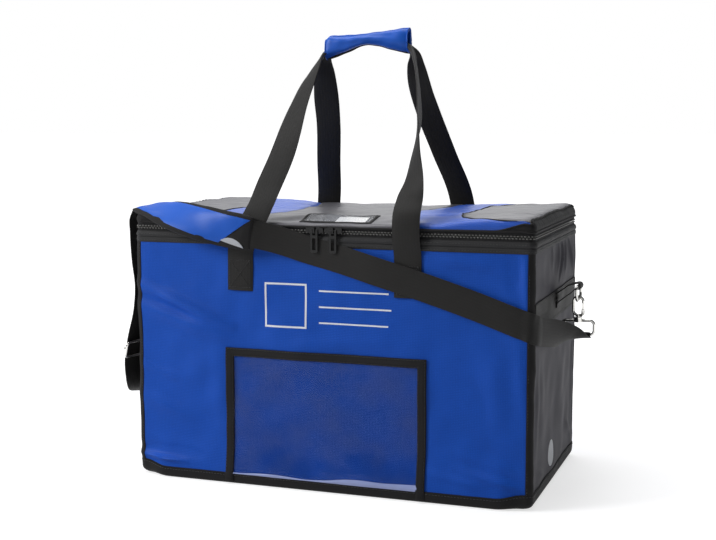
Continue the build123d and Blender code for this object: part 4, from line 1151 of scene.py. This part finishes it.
REAR_LEFT = [(-118, 152.8, 275, 0, 38, 2.2), (-118, 153.0, 306, 0, 38, 2.2), (-117, 154.0, 334, 0, 38, 2.2),
             (-115, 159.6, 352, 0, 38, 2.2), (-112, 160.2, 368, 0, 38, 2.2), (-109, 156.0, 386, 0, 38, 2.2),
             (-95, 118, 446, 0, 38, 2.2), (-82, 84, 500, 0, 38, 2.2), (-74, 54, 545, -4, 38, 2.2),
             (-66, 29, 576, -16, 30, 2.6), (-58, 12, 597, -48, 17, 3.8), (-52, 5.4, 606, -82, 10.5, 5.4),
             (-46, 4.4, 610.5, -88, 8.6, 5.6), (-38, 4.4, 613, -88, 8.6, 5.6), (-26, 4.5, 616, -88, 9, 5.6)]
REAR_RIGHT = [(116, 152.8, 275, 0, 38, 2.2), (116, 153.0, 306, 0, 38, 2.2), (115, 154.0, 334, 0, 38, 2.2),
              (113.5, 159.6, 352, 0, 38, 2.2), (112, 160.2, 368, 0, 38, 2.2), (110, 156.0, 386, 0, 38, 2.2),
              (94, 110, 460, 2, 38, 2.2), (81, 70, 520, 4, 38, 2.2), (76, 45, 556, 8, 36, 2.4),
              (76, 25, 585, -14, 26, 3.2), (77.5, 11, 604, -56, 15, 4.6), (73.5, 5.2, 613, -86, 9.6, 5.4),
              (66, 4.5, 617, -88, 8.8, 5.6), (44, 4.5, 619, -88, 9, 5.6)]


def leg_stations(rows, side):
    """A leg's stations with the direction across: level, and turned from X by the twist, mirrored behind."""
    x, y, z, twist, width, thick = np.array(rows, float).T
    turn = np.radians(twist)
    return np.stack([x, y, z, np.cos(turn), -side * np.sin(turn), 0 * turn, width, thick], -1)


def box_stitches(name, middle, low, high, side):
    """Thread box with a cross through it, that holds the webbing to the front or back wall."""
    half = WEB / 2 - 3.5
    left, right = middle - half, middle + half
    route = np.array([(left, low), (right, low), (right, high), (left, high), (left, low), (right, high),
                      (right, low), (left, high)])
    count = 260
    spot = along_line(np.linspace(0, len(route) - 1, count), np.arange(len(route)), route)
    line = np.stack([spot[:, 0], np.full(count, side * WEB_FACE), spot[:, 1]], -1)
    return stitch_line(name, line, np.tile((0, side, 0), (count, 1)), 3.6, thread(), 2.5)


def build_handles():
    """Four webbing legs, each sewn to the wall, bending at its fold line and gathered into the grip."""
    for name, legs, side in (("front", (FRONT_LEFT, FRONT_RIGHT), -1), ("rear", (REAR_LEFT, REAR_RIGHT), 1)):
        parts = [band(f"{name}_leg_{k}", leg_stations(rows, side), 150, webbing(), cup=0.7)
                 for k, rows in enumerate(legs)]
        fold = [np.array([0, side * FOLD_Y, z]) for z in FOLD_Z]
        place(merge(f"{name}_handle_webbing", parts), "carrier", "webbing", f"{name}_handle",
              f"{name}_handle_ends", bend=(f"{name}_handle_loop", *fold))
        sewn = [box_stitches(f"{name}_box_{k}", rows[0][0], *SEWN_Z, side) for k, rows in enumerate(legs)]
        place(merge(f"{name}_handle_stitches", sewn), "carrier", "webbing")


# Grip sections along x: middle height, half height and half depth
GRIP = [(-51, 611.5, 14.5, 9.5), (-47, 614.0, 15.5, 11.0), (-34, 616.6, 13.6, 12.0), (-16, 619.6, 10.4, 12.5),
        (4, 623.6, 7.6, 12.5), (14, 624.4, 7.4, 12.5), (28, 624.2, 8.8, 12.5), (50, 622.8, 13.2, 12.5),
        (66, 622.2, 16.6, 12.0), (73, 621.8, 17.2, 10.0)]


def grip_surface(low, high, inset):
    """Part of the padded tube between two turns: an oval section whose size changes along x, with soft
    lengthwise rolls."""
    x, _, z, tall, deep = smooth_run([(x, 0, *rest) for x, *rest in GRIP], 90).T[..., None]
    turn = np.linspace(low, high, 30)[None]
    rolls = 0.5 * np.sin(5 * turn + x / 21) + 0.35 * ripples(x, turn * 14, 9, 26)
    tall, deep = tall - inset + rolls, deep - inset + rolls
    y = -deep * np.sign(np.cos(turn)) * np.abs(np.cos(turn)) ** 0.85
    return np.stack(np.broadcast_arrays(x, y, z + tall * np.sin(turn)), -1), turn


def build_grip():
    """Padded wrap with its closing flap: two padded halves of one sleeve, edged in blue, with a dark seam
    where they meet below."""
    halves = [("grip_wrap", 0.0, "front_handle_loop"), ("grip_flap", np.pi, "rear_handle_loop")]
    reach, padding = 1.42, 3.6
    for node, middle, body in halves:
        outer, turn = grip_surface(middle - reach, middle + reach, 0.0)
        inner, _ = grip_surface(middle - reach, middle + reach, padding)
        piece = solid_sheet(node + "_pad", outer, inner, flat_uv(outer[..., 0], turn * 14), grip_cloth())
        place(piece, body, "grip_fabric", node)
        below, above = (-1, 0) if middle else (0, -1)
        rolled = [cord_along("grip_edge", outer[:, above], 1.1, grip_cloth())]
        rolled += [cord_along("grip_end", outer[row], 1.2, grip_cloth()) for row in (0, -1)]
        place(merge(node + "_edging", rolled), body, "grip_fabric")
        place(cord_along(node + "_seam", outer[:, below], 1.1, black_trim()), body, "black_trim")


def grip_cloth():
    """The body's blue polyester over foam, rubbed slightly smoother by hands."""
    return woven("blue polyester over foam, handled", hex_of("pad"), 2.0, 0.18, 0.42, 0.05, 0.08,
                 shine=0.28)


# Sides

def build_sides():
    """Webbing band across each side, its stitches and the ring's loop."""
    for name, middle, sign in (("right", RIGHT_MID, 1), ("left", -RIGHT_MID, -1)):
        s = np.linspace(middle - REACH_Y - 3, middle + REACH_Y + 3, 150)[:, None]
        z = np.linspace(235.5, 274.0, 11)[None] + 0.8 * np.sin((s - middle) / 60)
        s, z = np.broadcast_arrays(s, z)
        lift = 2.0 + 0.2 * ripples(s, z, 6, 40)
        pieces = [solid_sheet(f"{name}_band", wall(s, z, lift), wall(s, z, 0.1), flat_uv(s, z), webbing())]
        s = np.linspace(middle - REACH_Y, middle + REACH_Y, 120)
        pieces += [wall_stitches("band_stitches", s, height, 2.1) for height in (271.5, 238.5)]
        place(merge(f"{name}_side_band_webbing", pieces), "carrier", "webbing", f"{name}_side_band")
        build_tab(name, sign)


def build_tab(name, sign):
    """Folded webbing from the band out round the ring's bar: two layers that part round the bar."""
    low, high = limits(f"{name}_d_ring")
    bar, bar_z, radius = (low[0] + high[0]) / 2 * sign, high[2] - 2.0, 4.3
    nose = [(bar + radius * np.cos(turn), bar_z + radius * np.sin(turn))
            for turn in np.linspace(-1.9, 1.9, 15)]
    line = [(291.5, 250), (292.5, 256), (300, 263), (309, 270), *nose, (306, 281), (297, 274), (291.8, 270),
            (291.5, 262)]
    stations = [(sign * x, 0, z, 0, 1, 0, 22, 1.9) for x, z in line]
    piece = band(f"{name}_ring_tab_webbing", stations, 90, webbing())
    place(piece, "carrier", "webbing", f"{name}_ring_tab")


def build_metal():
    """Bright nickel-plated steel on every ring, hook and slide."""
    nickel = moulded("nickel-plated steel, polished", "#d9d8d4", 0.14, metallic=1.0, scale=220.0, depth=0.02)
    for side in ("left", "right"):
        for part in ("d_ring", "snap_hook", "hook_gate", "swivel_base"):
            dress(f"{side}_{part}", nickel)
    build_adjuster(nickel)


def squared(value):
    """A cosine or sine with its size raised to a low power, which squares a circle's corners."""
    return np.sign(value) * np.abs(value) ** 0.3


def build_adjuster(nickel):
    """The strap's slide: a rounded rectangle of wire across the webbing, and its bar."""
    run, across = np.array([0.215, 0, 0.977]), np.array([0.17, 0.985, 0])
    turn = np.linspace(0, 2 * np.pi, 49)[:, None]
    frame_line = (np.array([-303.7, -130.4, 179.6]) + 22.0 * squared(np.cos(turn)) * across
                  + 11.2 * squared(np.sin(turn)) * run)
    bar_line = np.array([-309.4, -129.4, 181.5]) + np.linspace(-21.0, 21.0, 9)[:, None] * across
    loop = [cord_along("adjuster_loop", frame_line, 2.1, nickel, close=True),
            cord_along("adjuster_bar", bar_line, 1.4, nickel)]
    place(merge("strap_adjuster_loop", loop), "carrier", "chrome", "strap_adjuster")


# Shoulder strap: x, y, z, direction across, from the right hook to the left one
STRAP = [(320, -2, 208.9, 0.9945, 0.1045, 0), (318.5, -16, 209.5, 1, 0, 0.2),
         (314, -36, 214.5, 0.75, 0, 0.66), (307, -64, 222, 0.35, 0, 0.94), (300, -96, 229, 0.1, 0, 1),
         (295, -125, 234.5, 0.02, 0, 1), (291.8, -146, 239.8, 0, 0, 1), (286, -154.8, 243.6, 0, 0, 1),
         (272, -156.4, 248.4, 0, 0, 1), (218, -156.2, 267, 0, 0, 1), (131, -156.6, 294, 0, 0, 1),
         (70, -156.6, 311, 0, 0, 1), (28, -154.05, 322.5, 0, 0, 1), (-27, -154.05, 336.5, 0, 0, 1),
         (-62, -157.6, 347, 0, 0, 1), (-86, -162.8, 353, 0, 0, 1), (-100, -166.8, 356, 0, 0, 1),
         (-140, -166.8, 362, 0, 0.05, 1), (-183, -163.5, 370, 0, 0.45, 0.89),
         (-222, -155.5, 378, 0, 0.72, 0.69), (-256, -141, 383.5, 0, 0.93, 0.3),
         (-286, -126, 384.5, 0, 1, 0.06), (-297, -123, 381, 0, 1, 0), (-302, -123, 372, 0, 1, 0),
         (-302, -124, 350, 0, 1, 0), (-298.5, -127, 310, 0, 1, 0), (-293.5, -129, 274.5, 0, 1, 0),
         (-296, -130, 239.5, 0, 1, 0), (-304.5, -130, 195.3, 0.15, 1, 0), (-309.5, -129, 163.8, 0.2, 1, 0),
         (-311, -120, 139, 0.35, 0.94, 0), (-312, -100, 116, 0.75, 0.66, 0), (-316, -68, 104, 1, 0.1, 0),
         (-320, -34, 121, 1, 0, 0), (-320, -10, 163, 1, 0, 0), (-320, -3.3, 204.2, 0.9976, -0.0698, 0),
         (-320, -3.3, 212.2, 0.9976, -0.0698, 0)]
PAD = STRAP[16:22]


def sized(rows, width, thick):
    """Stations with one width and thickness."""
    return [(*row, width, thick) for row in rows]


def end_wrap(name, sign, turn):
    """The strap's end sewn round the lower bar of a hook's base."""
    bar_z = limits(f"{name}_swivel_base")[0][2] + 2.0
    out = np.array([sign * np.sin(np.radians(turn)), np.cos(np.radians(turn)), 0])
    side = np.array([-out[1], out[0], 0]) * sign
    angle = np.linspace(-2.6, 2.6, 25)[:, None]
    radius, width, thick = 3.4, 34.0, 1.8
    round_bar = radius * (np.sin(angle) * side - np.cos(angle) * (0, 0, 1.0))
    stations = np.c_[round_bar + (sign * HOOK_X, 0, bar_z), np.tile((*out, width, thick), (len(angle), 1))]
    return band(f"{name}_strap_end", stations, 40, webbing())


def build_strap():
    """One length of webbing over the front and the front left corner, with both ends sewn round their
    bars."""
    parts = [band("strap_run", sized(STRAP, WEB, 2.0), 620, webbing(), cup=0.5),
             end_wrap("right", 1, 84), end_wrap("left", -1, 86)]
    place(merge("shoulder_strap_webbing", parts), "carrier", "webbing", "shoulder_strap")
    build_pad()


def pad_swell(share):
    """How far the pad swells at a share of its half width: in full over the middle, less at the edges."""
    return 3.9 * (1 - np.abs(share) ** 5) ** 0.5


def from_ends(spot, total, reach):
    """0 at either end of the pad, 1 from a reach inside it on."""
    return np.clip(np.minimum(spot, total - spot) / reach, 0, 1)


def pad_patch(name, lines, length, spot, off, rise, thickness, material):
    """Cloth laid on the pad: at lengths along it, distances across it and heights over its middle plane."""
    row = np.clip(np.searchsorted(length, spot.ravel()).reshape(spot.shape), 1, len(length) - 1)
    mix = ((spot - length[row - 1]) / (length[row] - length[row - 1]))[..., None]
    centre, across, face = (line[row - 1] * (1 - mix) + line[row] * mix for line in lines)
    top = centre + across * off[..., None] + face * rise[..., None]
    place(solid_sheet(name, top, top - face * thickness, flat_uv(spot, off), material), "carrier",
          "pad_fabric")


def build_pad():
    """Padded sleeve: black rim, raised blue cover with a pointed end, and the pale lining below its tip."""
    centre, across, face, _, _, length = band_frame(sized(PAD, 2 * PAD_HALF, 8.0), 110)
    total = length[-1]
    v = np.linspace(-1, 1, 27)[None]
    along = length[:, None]
    ends = from_ends(along, total, 12) ** 0.5
    puff = pad_swell(v) * ends + 0.35
    off = v * PAD_HALF * (0.86 + 0.14 * from_ends(along, total, 20) ** 0.5)
    wave = 0.35 * ripples(along, v * PAD_HALF, 11, 38)
    middle = centre[:, None] + across[:, None] * off[..., None]
    out = face[:, None] * (puff + wave * ends + 0.9)[..., None]
    back = face[:, None] * (puff * 0.55 + 0.9)[..., None]
    body = solid_sheet("shoulder_pad_body", middle + out, middle - back, flat_uv(along, off), black_trim())
    place(body, "carrier", "pad_fabric", "shoulder_pad")
    # Cover: from just inside the far end to a slanted end, narrower than the body
    w = np.linspace(-1, 1, 23)[None]
    start = 3.0 + 42.0 * (1 - w) / 2
    spot = start + (total - 7.0 - start) * np.linspace(0, 1, 80)[:, None]
    off = w * 20.0 * (0.9 + 0.1 * from_ends(spot, total, 24))
    rise = (pad_swell(off / PAD_HALF) * from_ends(spot, total, 12) ** 0.5 + 1.5 + 0.7 * (1 - w ** 4)
            + 0.25 * ripples(spot, w * 20, 19, 34))
    pad_patch("shoulder_pad_cover", (centre, across, face), length, spot, off, rise, CLOTH, grip_cloth())
    # Lining: a lens below the cover's slanted end
    t = np.linspace(0, 1, 40)[:, None]
    off = -19.0 + 8.5 * np.sin(np.pi * t) ** 0.7 * np.linspace(0, 1, 9)[None] + 5.0 * (t - 0.5)
    spot = np.broadcast_to(8.0 + 34.0 * t, off.shape)
    rise = pad_swell(off / PAD_HALF) + 1.9
    pad_patch("shoulder_pad_lining", (centre, across, face), length, spot, off, rise, 0.9, pale_lining())


def pale_lining():
    """Brushed lining that shows at the pad's open corner, pale grey."""
    return woven("pale grey brushed lining", "#b9bcc2", 1.6, 0.2, 0.8, 0.2, 0.06)


# Inside

def build_inside():
    """Wipe-clean lining in the body and under the lid, soft foam behind it, and the board below."""
    build_liner()
    build_lid_lining()
    foam = moulded("closed-cell polyethylene foam", "#e4e4e1", 0.8, scale=700.0, depth=0.2)
    low, high = limits("lid_foam")
    x, y = np.meshgrid(np.linspace(low[0] + 1, high[0] - 1, 120), np.linspace(low[1] + 1, high[1] - 1, 60),
                       indexing="ij")
    above = lid_skin(x, y) - (0, 0, 1.9)
    below = above.copy()
    below[..., 2] = np.minimum(low[2] + 0.2, above[..., 2] - 1)
    place(solid_sheet("lid_foam_pad", above, below, flat_uv(x, y), foam), "lid", "foam", "lid_foam")
    for side in ("front", "back", "left", "right", "base"):
        dress(f"{side}_foam", foam)
    dress("base_board", moulded("black polypropylene board, extruded", "#1b1b1c", 0.5))


def build_liner():
    """Film round the inside of the walls, softly bowed inwards, and over the floor."""
    s = ring_steps(8.0, 7)
    z = np.linspace(LINER[0][2], LINER[1][2] - 0.3, 40)
    point, out = inner_ring(s, LINER_INSET)
    ss, zz = np.meshgrid(s, z, indexing="ij")
    bow = (0.9 * ripples(ss, zz, 71, 90) + 0.5 * ripples(ss, zz, 72, 35)) * smooth((z[-1] - zz) / 30) - 0.2
    flat = point[:, None] - out[:, None] * np.maximum(bow, -0.2)[..., None]
    inner = np.concatenate([flat, zz[..., None]], -1)
    outer = np.concatenate([flat + out[:, None] * 0.8, zz[..., None]], -1)
    place(solid_sheet("liner_wall", outer, inner, flat_uv(ss, zz), lining(), wrap=True), "carrier",
          "liner_film", "inner_liner")
    x, y = np.meshgrid(np.linspace(-272, 272, 90), np.linspace(-135, 135, 46), indexing="ij")
    floor = np.stack([x, y, LINER[0][2] + 1.0 + 0.5 * ripples(x, y, 73, 70)], -1)
    place(solid_sheet("liner_floor", floor, floor - (0, 0, 0.8), flat_uv(x, y), lining()), "carrier",
          "liner_film")


def build_lid_lining():
    """One tray of film round the lid's pad, quilted in squares, with its border rolled up."""
    (x0, y0, z0), (x1, y1, _) = limits("lid_liner")
    x, y = np.meshgrid(np.linspace(x0 - 2, x1 + 2, 130), np.linspace(y0 - 2, y1 + 2, 70), indexing="ij")
    spot, down = rolled_edge(np.stack([x, y], -1), (x0 + 4, y0 + 4), (x1 - 4, y1 - 4), 3.5)
    square = 90.0
    quilt = (1.2 * np.abs(np.sin(np.pi * x / square)) ** 0.5
             * np.abs(np.sin(np.pi * (y - LID_MIDDLE) / square)) ** 0.5)
    height = z0 + 1.6 - quilt + np.minimum(down, 8.0)
    tray = np.concatenate([spot, height[..., None]], -1)
    place(solid_sheet("lid_lining", tray, tray + (0, 0, 0.8), flat_uv(x, y), lining()), "lid", "liner_film",
          "lid_liner")


def lining():
    """Reflective laminate lining: a pale grey film with soft creases."""
    return woven("pale laminated film, embossed", "#c3c6ca", 3.0, 0.25, 0.34, 0.0, 0.05, coarse=0.02)


# Stage

def build_stage():
    """Pale floor and background, soft studio light and the camera."""
    bpy.context.scene.view_settings.view_transform = "Standard"
    build_floor()
    build_world()
    build_lamps()
    build_camera()


def seen_by(tree, *rays):
    """1 where the ray is of one of the named kinds, else 0."""
    path = add_node(tree, "ShaderNodeLightPath").outputs
    seen = path[rays[0]]
    for ray in rays[1:]:
        seen = add_node(tree, "ShaderNodeMath", links={0: seen, 1: path[ray]}, operation="MAXIMUM").outputs[0]
    return seen


def build_floor():
    """A wide painted floor that brightens with the distance from the object, until it meets the
    background."""
    mesh = bpy.data.meshes.new("floor")
    far, below = 30.0, -0.0006
    mesh.from_pydata([(-far, -far, below), (far, -far, below), (far, far, below), (-far, far, below)], [],
                     [(0, 1, 2, 3)])
    floor = bpy.data.objects.new("floor", mesh)
    bpy.context.scene.collection.objects.link(floor)
    material = bpy.data.materials.new("pale studio floor, painted")
    material.use_nodes = True
    tree = material.node_tree
    tree.nodes.clear()
    seen = seen_by(tree, "Is Camera Ray", "Is Glossy Ray", "Is Transmission Ray")
    paint = add_node(tree, "ShaderNodeBsdfDiffuse", {"Color": (0.55, 0.55, 0.56, 1)}).outputs[0]
    where = add_node(tree, "ShaderNodeTexCoord").outputs["Object"]
    away = add_node(tree, "ShaderNodeVectorMath", links={0: where}, operation="LENGTH").outputs["Value"]
    rise = add_node(tree, "ShaderNodeMapRange", {"From Min": 0.7, "From Max": 1.9, "To Min": 0.66,
                                                 "To Max": 1.0}, {"Value": away}).outputs[0]
    glow = add_node(tree, "ShaderNodeEmission", {"Color": (1, 1, 1, 1)}, {"Strength": rise}).outputs[0]
    both = add_node(tree, "ShaderNodeAddShader", links={0: paint, 1: glow}).outputs[0]
    pick = add_node(tree, "ShaderNodeMixShader", links={0: seen, 1: paint, 2: both}).outputs[0]
    add_node(tree, "ShaderNodeOutputMaterial", links={"Surface": pick})
    mesh.materials.append(material)


def build_world():
    """White background, and for the rest a soft light that is stronger from one side."""
    scene = bpy.context.scene
    ambient = scene.carrier_looks.ambient
    scene.world = bpy.data.worlds.new("studio")
    scene.world.use_nodes = True
    tree = scene.world.node_tree
    tree.nodes.clear()
    seen = seen_by(tree, "Is Camera Ray", "Is Transmission Ray")
    from_view = add_node(tree, "ShaderNodeNewGeometry").outputs["Incoming"]
    depth = add_node(tree, "ShaderNodeVectorMath", {1: (-0.7, 1.0, 0.0)}, {0: from_view},
                     operation="DOT_PRODUCT").outputs["Value"]
    power = add_node(tree, "ShaderNodeMapRange", {"From Min": 0.7, "From Max": -0.8, "To Min": ambient * 0.45,
                                                  "To Max": ambient * 1.7}, {"Value": depth}).outputs[0]
    soft = add_node(tree, "ShaderNodeBackground", {"Color": (0.95, 0.97, 1.0, 1)}, {"Strength": power})
    white = add_node(tree, "ShaderNodeBackground", {"Color": (1, 1, 1, 1), "Strength": 1.0})
    pick = add_node(tree, "ShaderNodeMixShader", links={0: seen, 1: soft.outputs[0], 2: white.outputs[0]})
    add_node(tree, "ShaderNodeOutputWorld", links={"Surface": pick.outputs[0]})


def build_lamps():
    """Four round area lamps, each turned to a point near the object: place, target and size in metres."""
    scene = bpy.context.scene
    lamps = [("key", (-1.7, -1.25, 1.35), (0, 0, 0.2), 0.9), ("fill", (2.4, -1.9, 1.5), (0, 0, 0.25), 2.0),
             ("back", (-0.6, 2.4, 1.7), (0, 0, 0.3), 2.0), ("top", (-0.3, 0.1, 2.4), (0, 0, 0.3), 1.8)]
    for name, spot, target, size in lamps:
        light = bpy.data.lights.new(name, "AREA")
        light.shape = "DISK"
        light.size = size
        light.energy = getattr(scene.carrier_looks, name)
        lamp = bpy.data.objects.new(name, light)
        z = np.array(spot) - target
        z /= np.linalg.norm(z)
        x = np.cross((0, 0, 1.0), z)
        x /= np.linalg.norm(x)
        lamp.matrix_world = Matrix(np.r_[np.c_[x, np.cross(z, x), z, spot], [(0, 0, 0, 1)]].tolist())
        scene.collection.objects.link(lamp)


def build_camera():
    """The camera at the photograph's angle: its place in metres and its axes."""
    lens = bpy.data.cameras.new("camera")
    lens.lens, lens.sensor_width, lens.sensor_fit = 63.86, 36.0, "HORIZONTAL"
    camera = bpy.data.objects.new("camera", lens)
    right = (0.942452, 0.334327, -0.003037)
    up = (-0.037808, 0.115595, 0.992577)
    ahead = (-0.332196, 0.935341, -0.121583)
    spot = (0.61580, -1.74787, 0.51763)
    camera.matrix_world = Matrix([(right[k], up[k], -ahead[k], spot[k]) for k in range(3)] + [(0, 0, 0, 1)])
    bpy.context.scene.collection.objects.link(camera)
    bpy.context.scene.camera = camera


# Add-on

class CarrierLooks(bpy.types.PropertyGroup):
    """Colours and lamp powers that a user would change."""
    blue: bpy.props.FloatVectorProperty(name="Blue cloth", description="Front, back and lid wings", size=4,
                                        subtype="COLOR", min=0, max=1, default=linear("#1852bb"))
    grey: bpy.props.FloatVectorProperty(name="Grey cloth", description="Sides and the rest of the lid",
                                        size=4, subtype="COLOR", min=0, max=1, default=linear("#545359"))
    trim: bpy.props.FloatVectorProperty(name="Black trim", description="Bindings, base and rim", size=4,
                                        subtype="COLOR", min=0, max=1, default=linear("#181718"))
    webbing: bpy.props.FloatVectorProperty(name="Webbing", description="Handles and shoulder strap", size=4,
                                           subtype="COLOR", min=0, max=1, default=linear("#1e1d1c"))
    pad: bpy.props.FloatVectorProperty(name="Pad cloth", description="Grip and shoulder pad", size=4,
                                       subtype="COLOR", min=0, max=1, default=linear("#1757be"))
    key: bpy.props.FloatProperty(name="Key", description="Power of the lamp at the front left", default=37,
                                 unit="POWER")
    fill: bpy.props.FloatProperty(name="Fill", description="Power of the lamp at the right", default=1.2,
                                  unit="POWER")
    back: bpy.props.FloatProperty(name="Back", description="Power of the lamp behind", default=12,
                                  unit="POWER")
    top: bpy.props.FloatProperty(name="Top", description="Power of the lamp above", default=33, unit="POWER")
    ambient: bpy.props.FloatProperty(name="Ambient", description="Strength of the light from all round",
                                     default=0.26, min=0)


class CARRIER_OT_stage(bpy.types.Operator):
    """Floor, background, lamps and camera"""
    bl_idname, bl_label = "carrier.stage", "Stage"

    def execute(self, context):
        build_stage()
        return {"FINISHED"}


class CARRIER_OT_walls(bpy.types.Operator):
    """Wall cloths and their black trim"""
    bl_idname, bl_label = "carrier.walls", "Walls and trim"

    def execute(self, context):
        build_walls()
        build_trim()
        return {"FINISHED"}


class CARRIER_OT_zip(bpy.types.Operator):
    """Zip teeth, tapes, sliders and the hinge cloth"""
    bl_idname, bl_label = "carrier.zip", "Zip and hinge"

    def execute(self, context):
        build_zip()
        return {"FINISHED"}


class CARRIER_OT_lid(bpy.types.Operator):
    """Lid cloths, piping and card holder"""
    bl_idname, bl_label = "carrier.lid", "Lid"

    def execute(self, context):
        build_lid()
        build_card_holder()
        return {"FINISHED"}


class CARRIER_OT_pocket(bpy.types.Operator):
    """Document pocket and plain print"""
    bl_idname, bl_label = "carrier.pocket", "Pocket and print"

    def execute(self, context):
        build_pocket()
        build_print()
        return {"FINISHED"}


class CARRIER_OT_handles(bpy.types.Operator):
    """Webbing handles and padded grip"""
    bl_idname, bl_label = "carrier.handles", "Handles and grip"

    def execute(self, context):
        build_handles()
        build_grip()
        return {"FINISHED"}


class CARRIER_OT_sides(bpy.types.Operator):
    """Side bands, ring loops and bright metal"""
    bl_idname, bl_label = "carrier.sides", "Side fittings"

    def execute(self, context):
        build_sides()
        build_metal()
        return {"FINISHED"}


class CARRIER_OT_strap(bpy.types.Operator):
    """Shoulder strap and its pad"""
    bl_idname, bl_label = "carrier.strap", "Shoulder strap"

    def execute(self, context):
        build_strap()
        return {"FINISHED"}


class CARRIER_OT_inside(bpy.types.Operator):
    """Lining, foam and board"""
    bl_idname, bl_label = "carrier.inside", "Inside"

    def execute(self, context):
        build_inside()
        return {"FINISHED"}


OPERATORS = (CARRIER_OT_stage, CARRIER_OT_walls, CARRIER_OT_zip, CARRIER_OT_lid, CARRIER_OT_pocket,
             CARRIER_OT_handles, CARRIER_OT_sides, CARRIER_OT_strap, CARRIER_OT_inside)


class CARRIER_PT_panel(bpy.types.Panel):
    """Lists the pieces in the order in which they are made"""
    bl_idname, bl_label = "CARRIER_PT_panel", "Carrier"
    bl_space_type, bl_region_type, bl_category = "VIEW_3D", "UI", "Carrier"

    def draw(self, context):
        for name in ("blue", "grey", "trim", "webbing", "pad", "key", "fill", "back", "top", "ambient"):
            self.layout.prop(context.scene.carrier_looks, name)
        for operator in OPERATORS:
            self.layout.operator(operator.bl_idname)


def register():
    """Make the classes and the scene's settings known."""
    for item in (CarrierLooks, *OPERATORS, CARRIER_PT_panel):
        bpy.utils.register_class(item)
    bpy.types.Scene.carrier_looks = bpy.props.PointerProperty(type=CarrierLooks)


def unregister():
    """Take them away again."""
    del bpy.types.Scene.carrier_looks
    for item in reversed((CarrierLooks, *OPERATORS, CARRIER_PT_panel)):
        bpy.utils.unregister_class(item)


def main():
    """Make every piece in order."""
    register()
    bpy.ops.carrier.stage()
    bpy.ops.carrier.walls()
    bpy.ops.carrier.zip()
    bpy.ops.carrier.lid()
    bpy.ops.carrier.pocket()
    bpy.ops.carrier.handles()
    bpy.ops.carrier.sides()
    bpy.ops.carrier.strap()
    bpy.ops.carrier.inside()


if __name__ == "__main__":
    main()
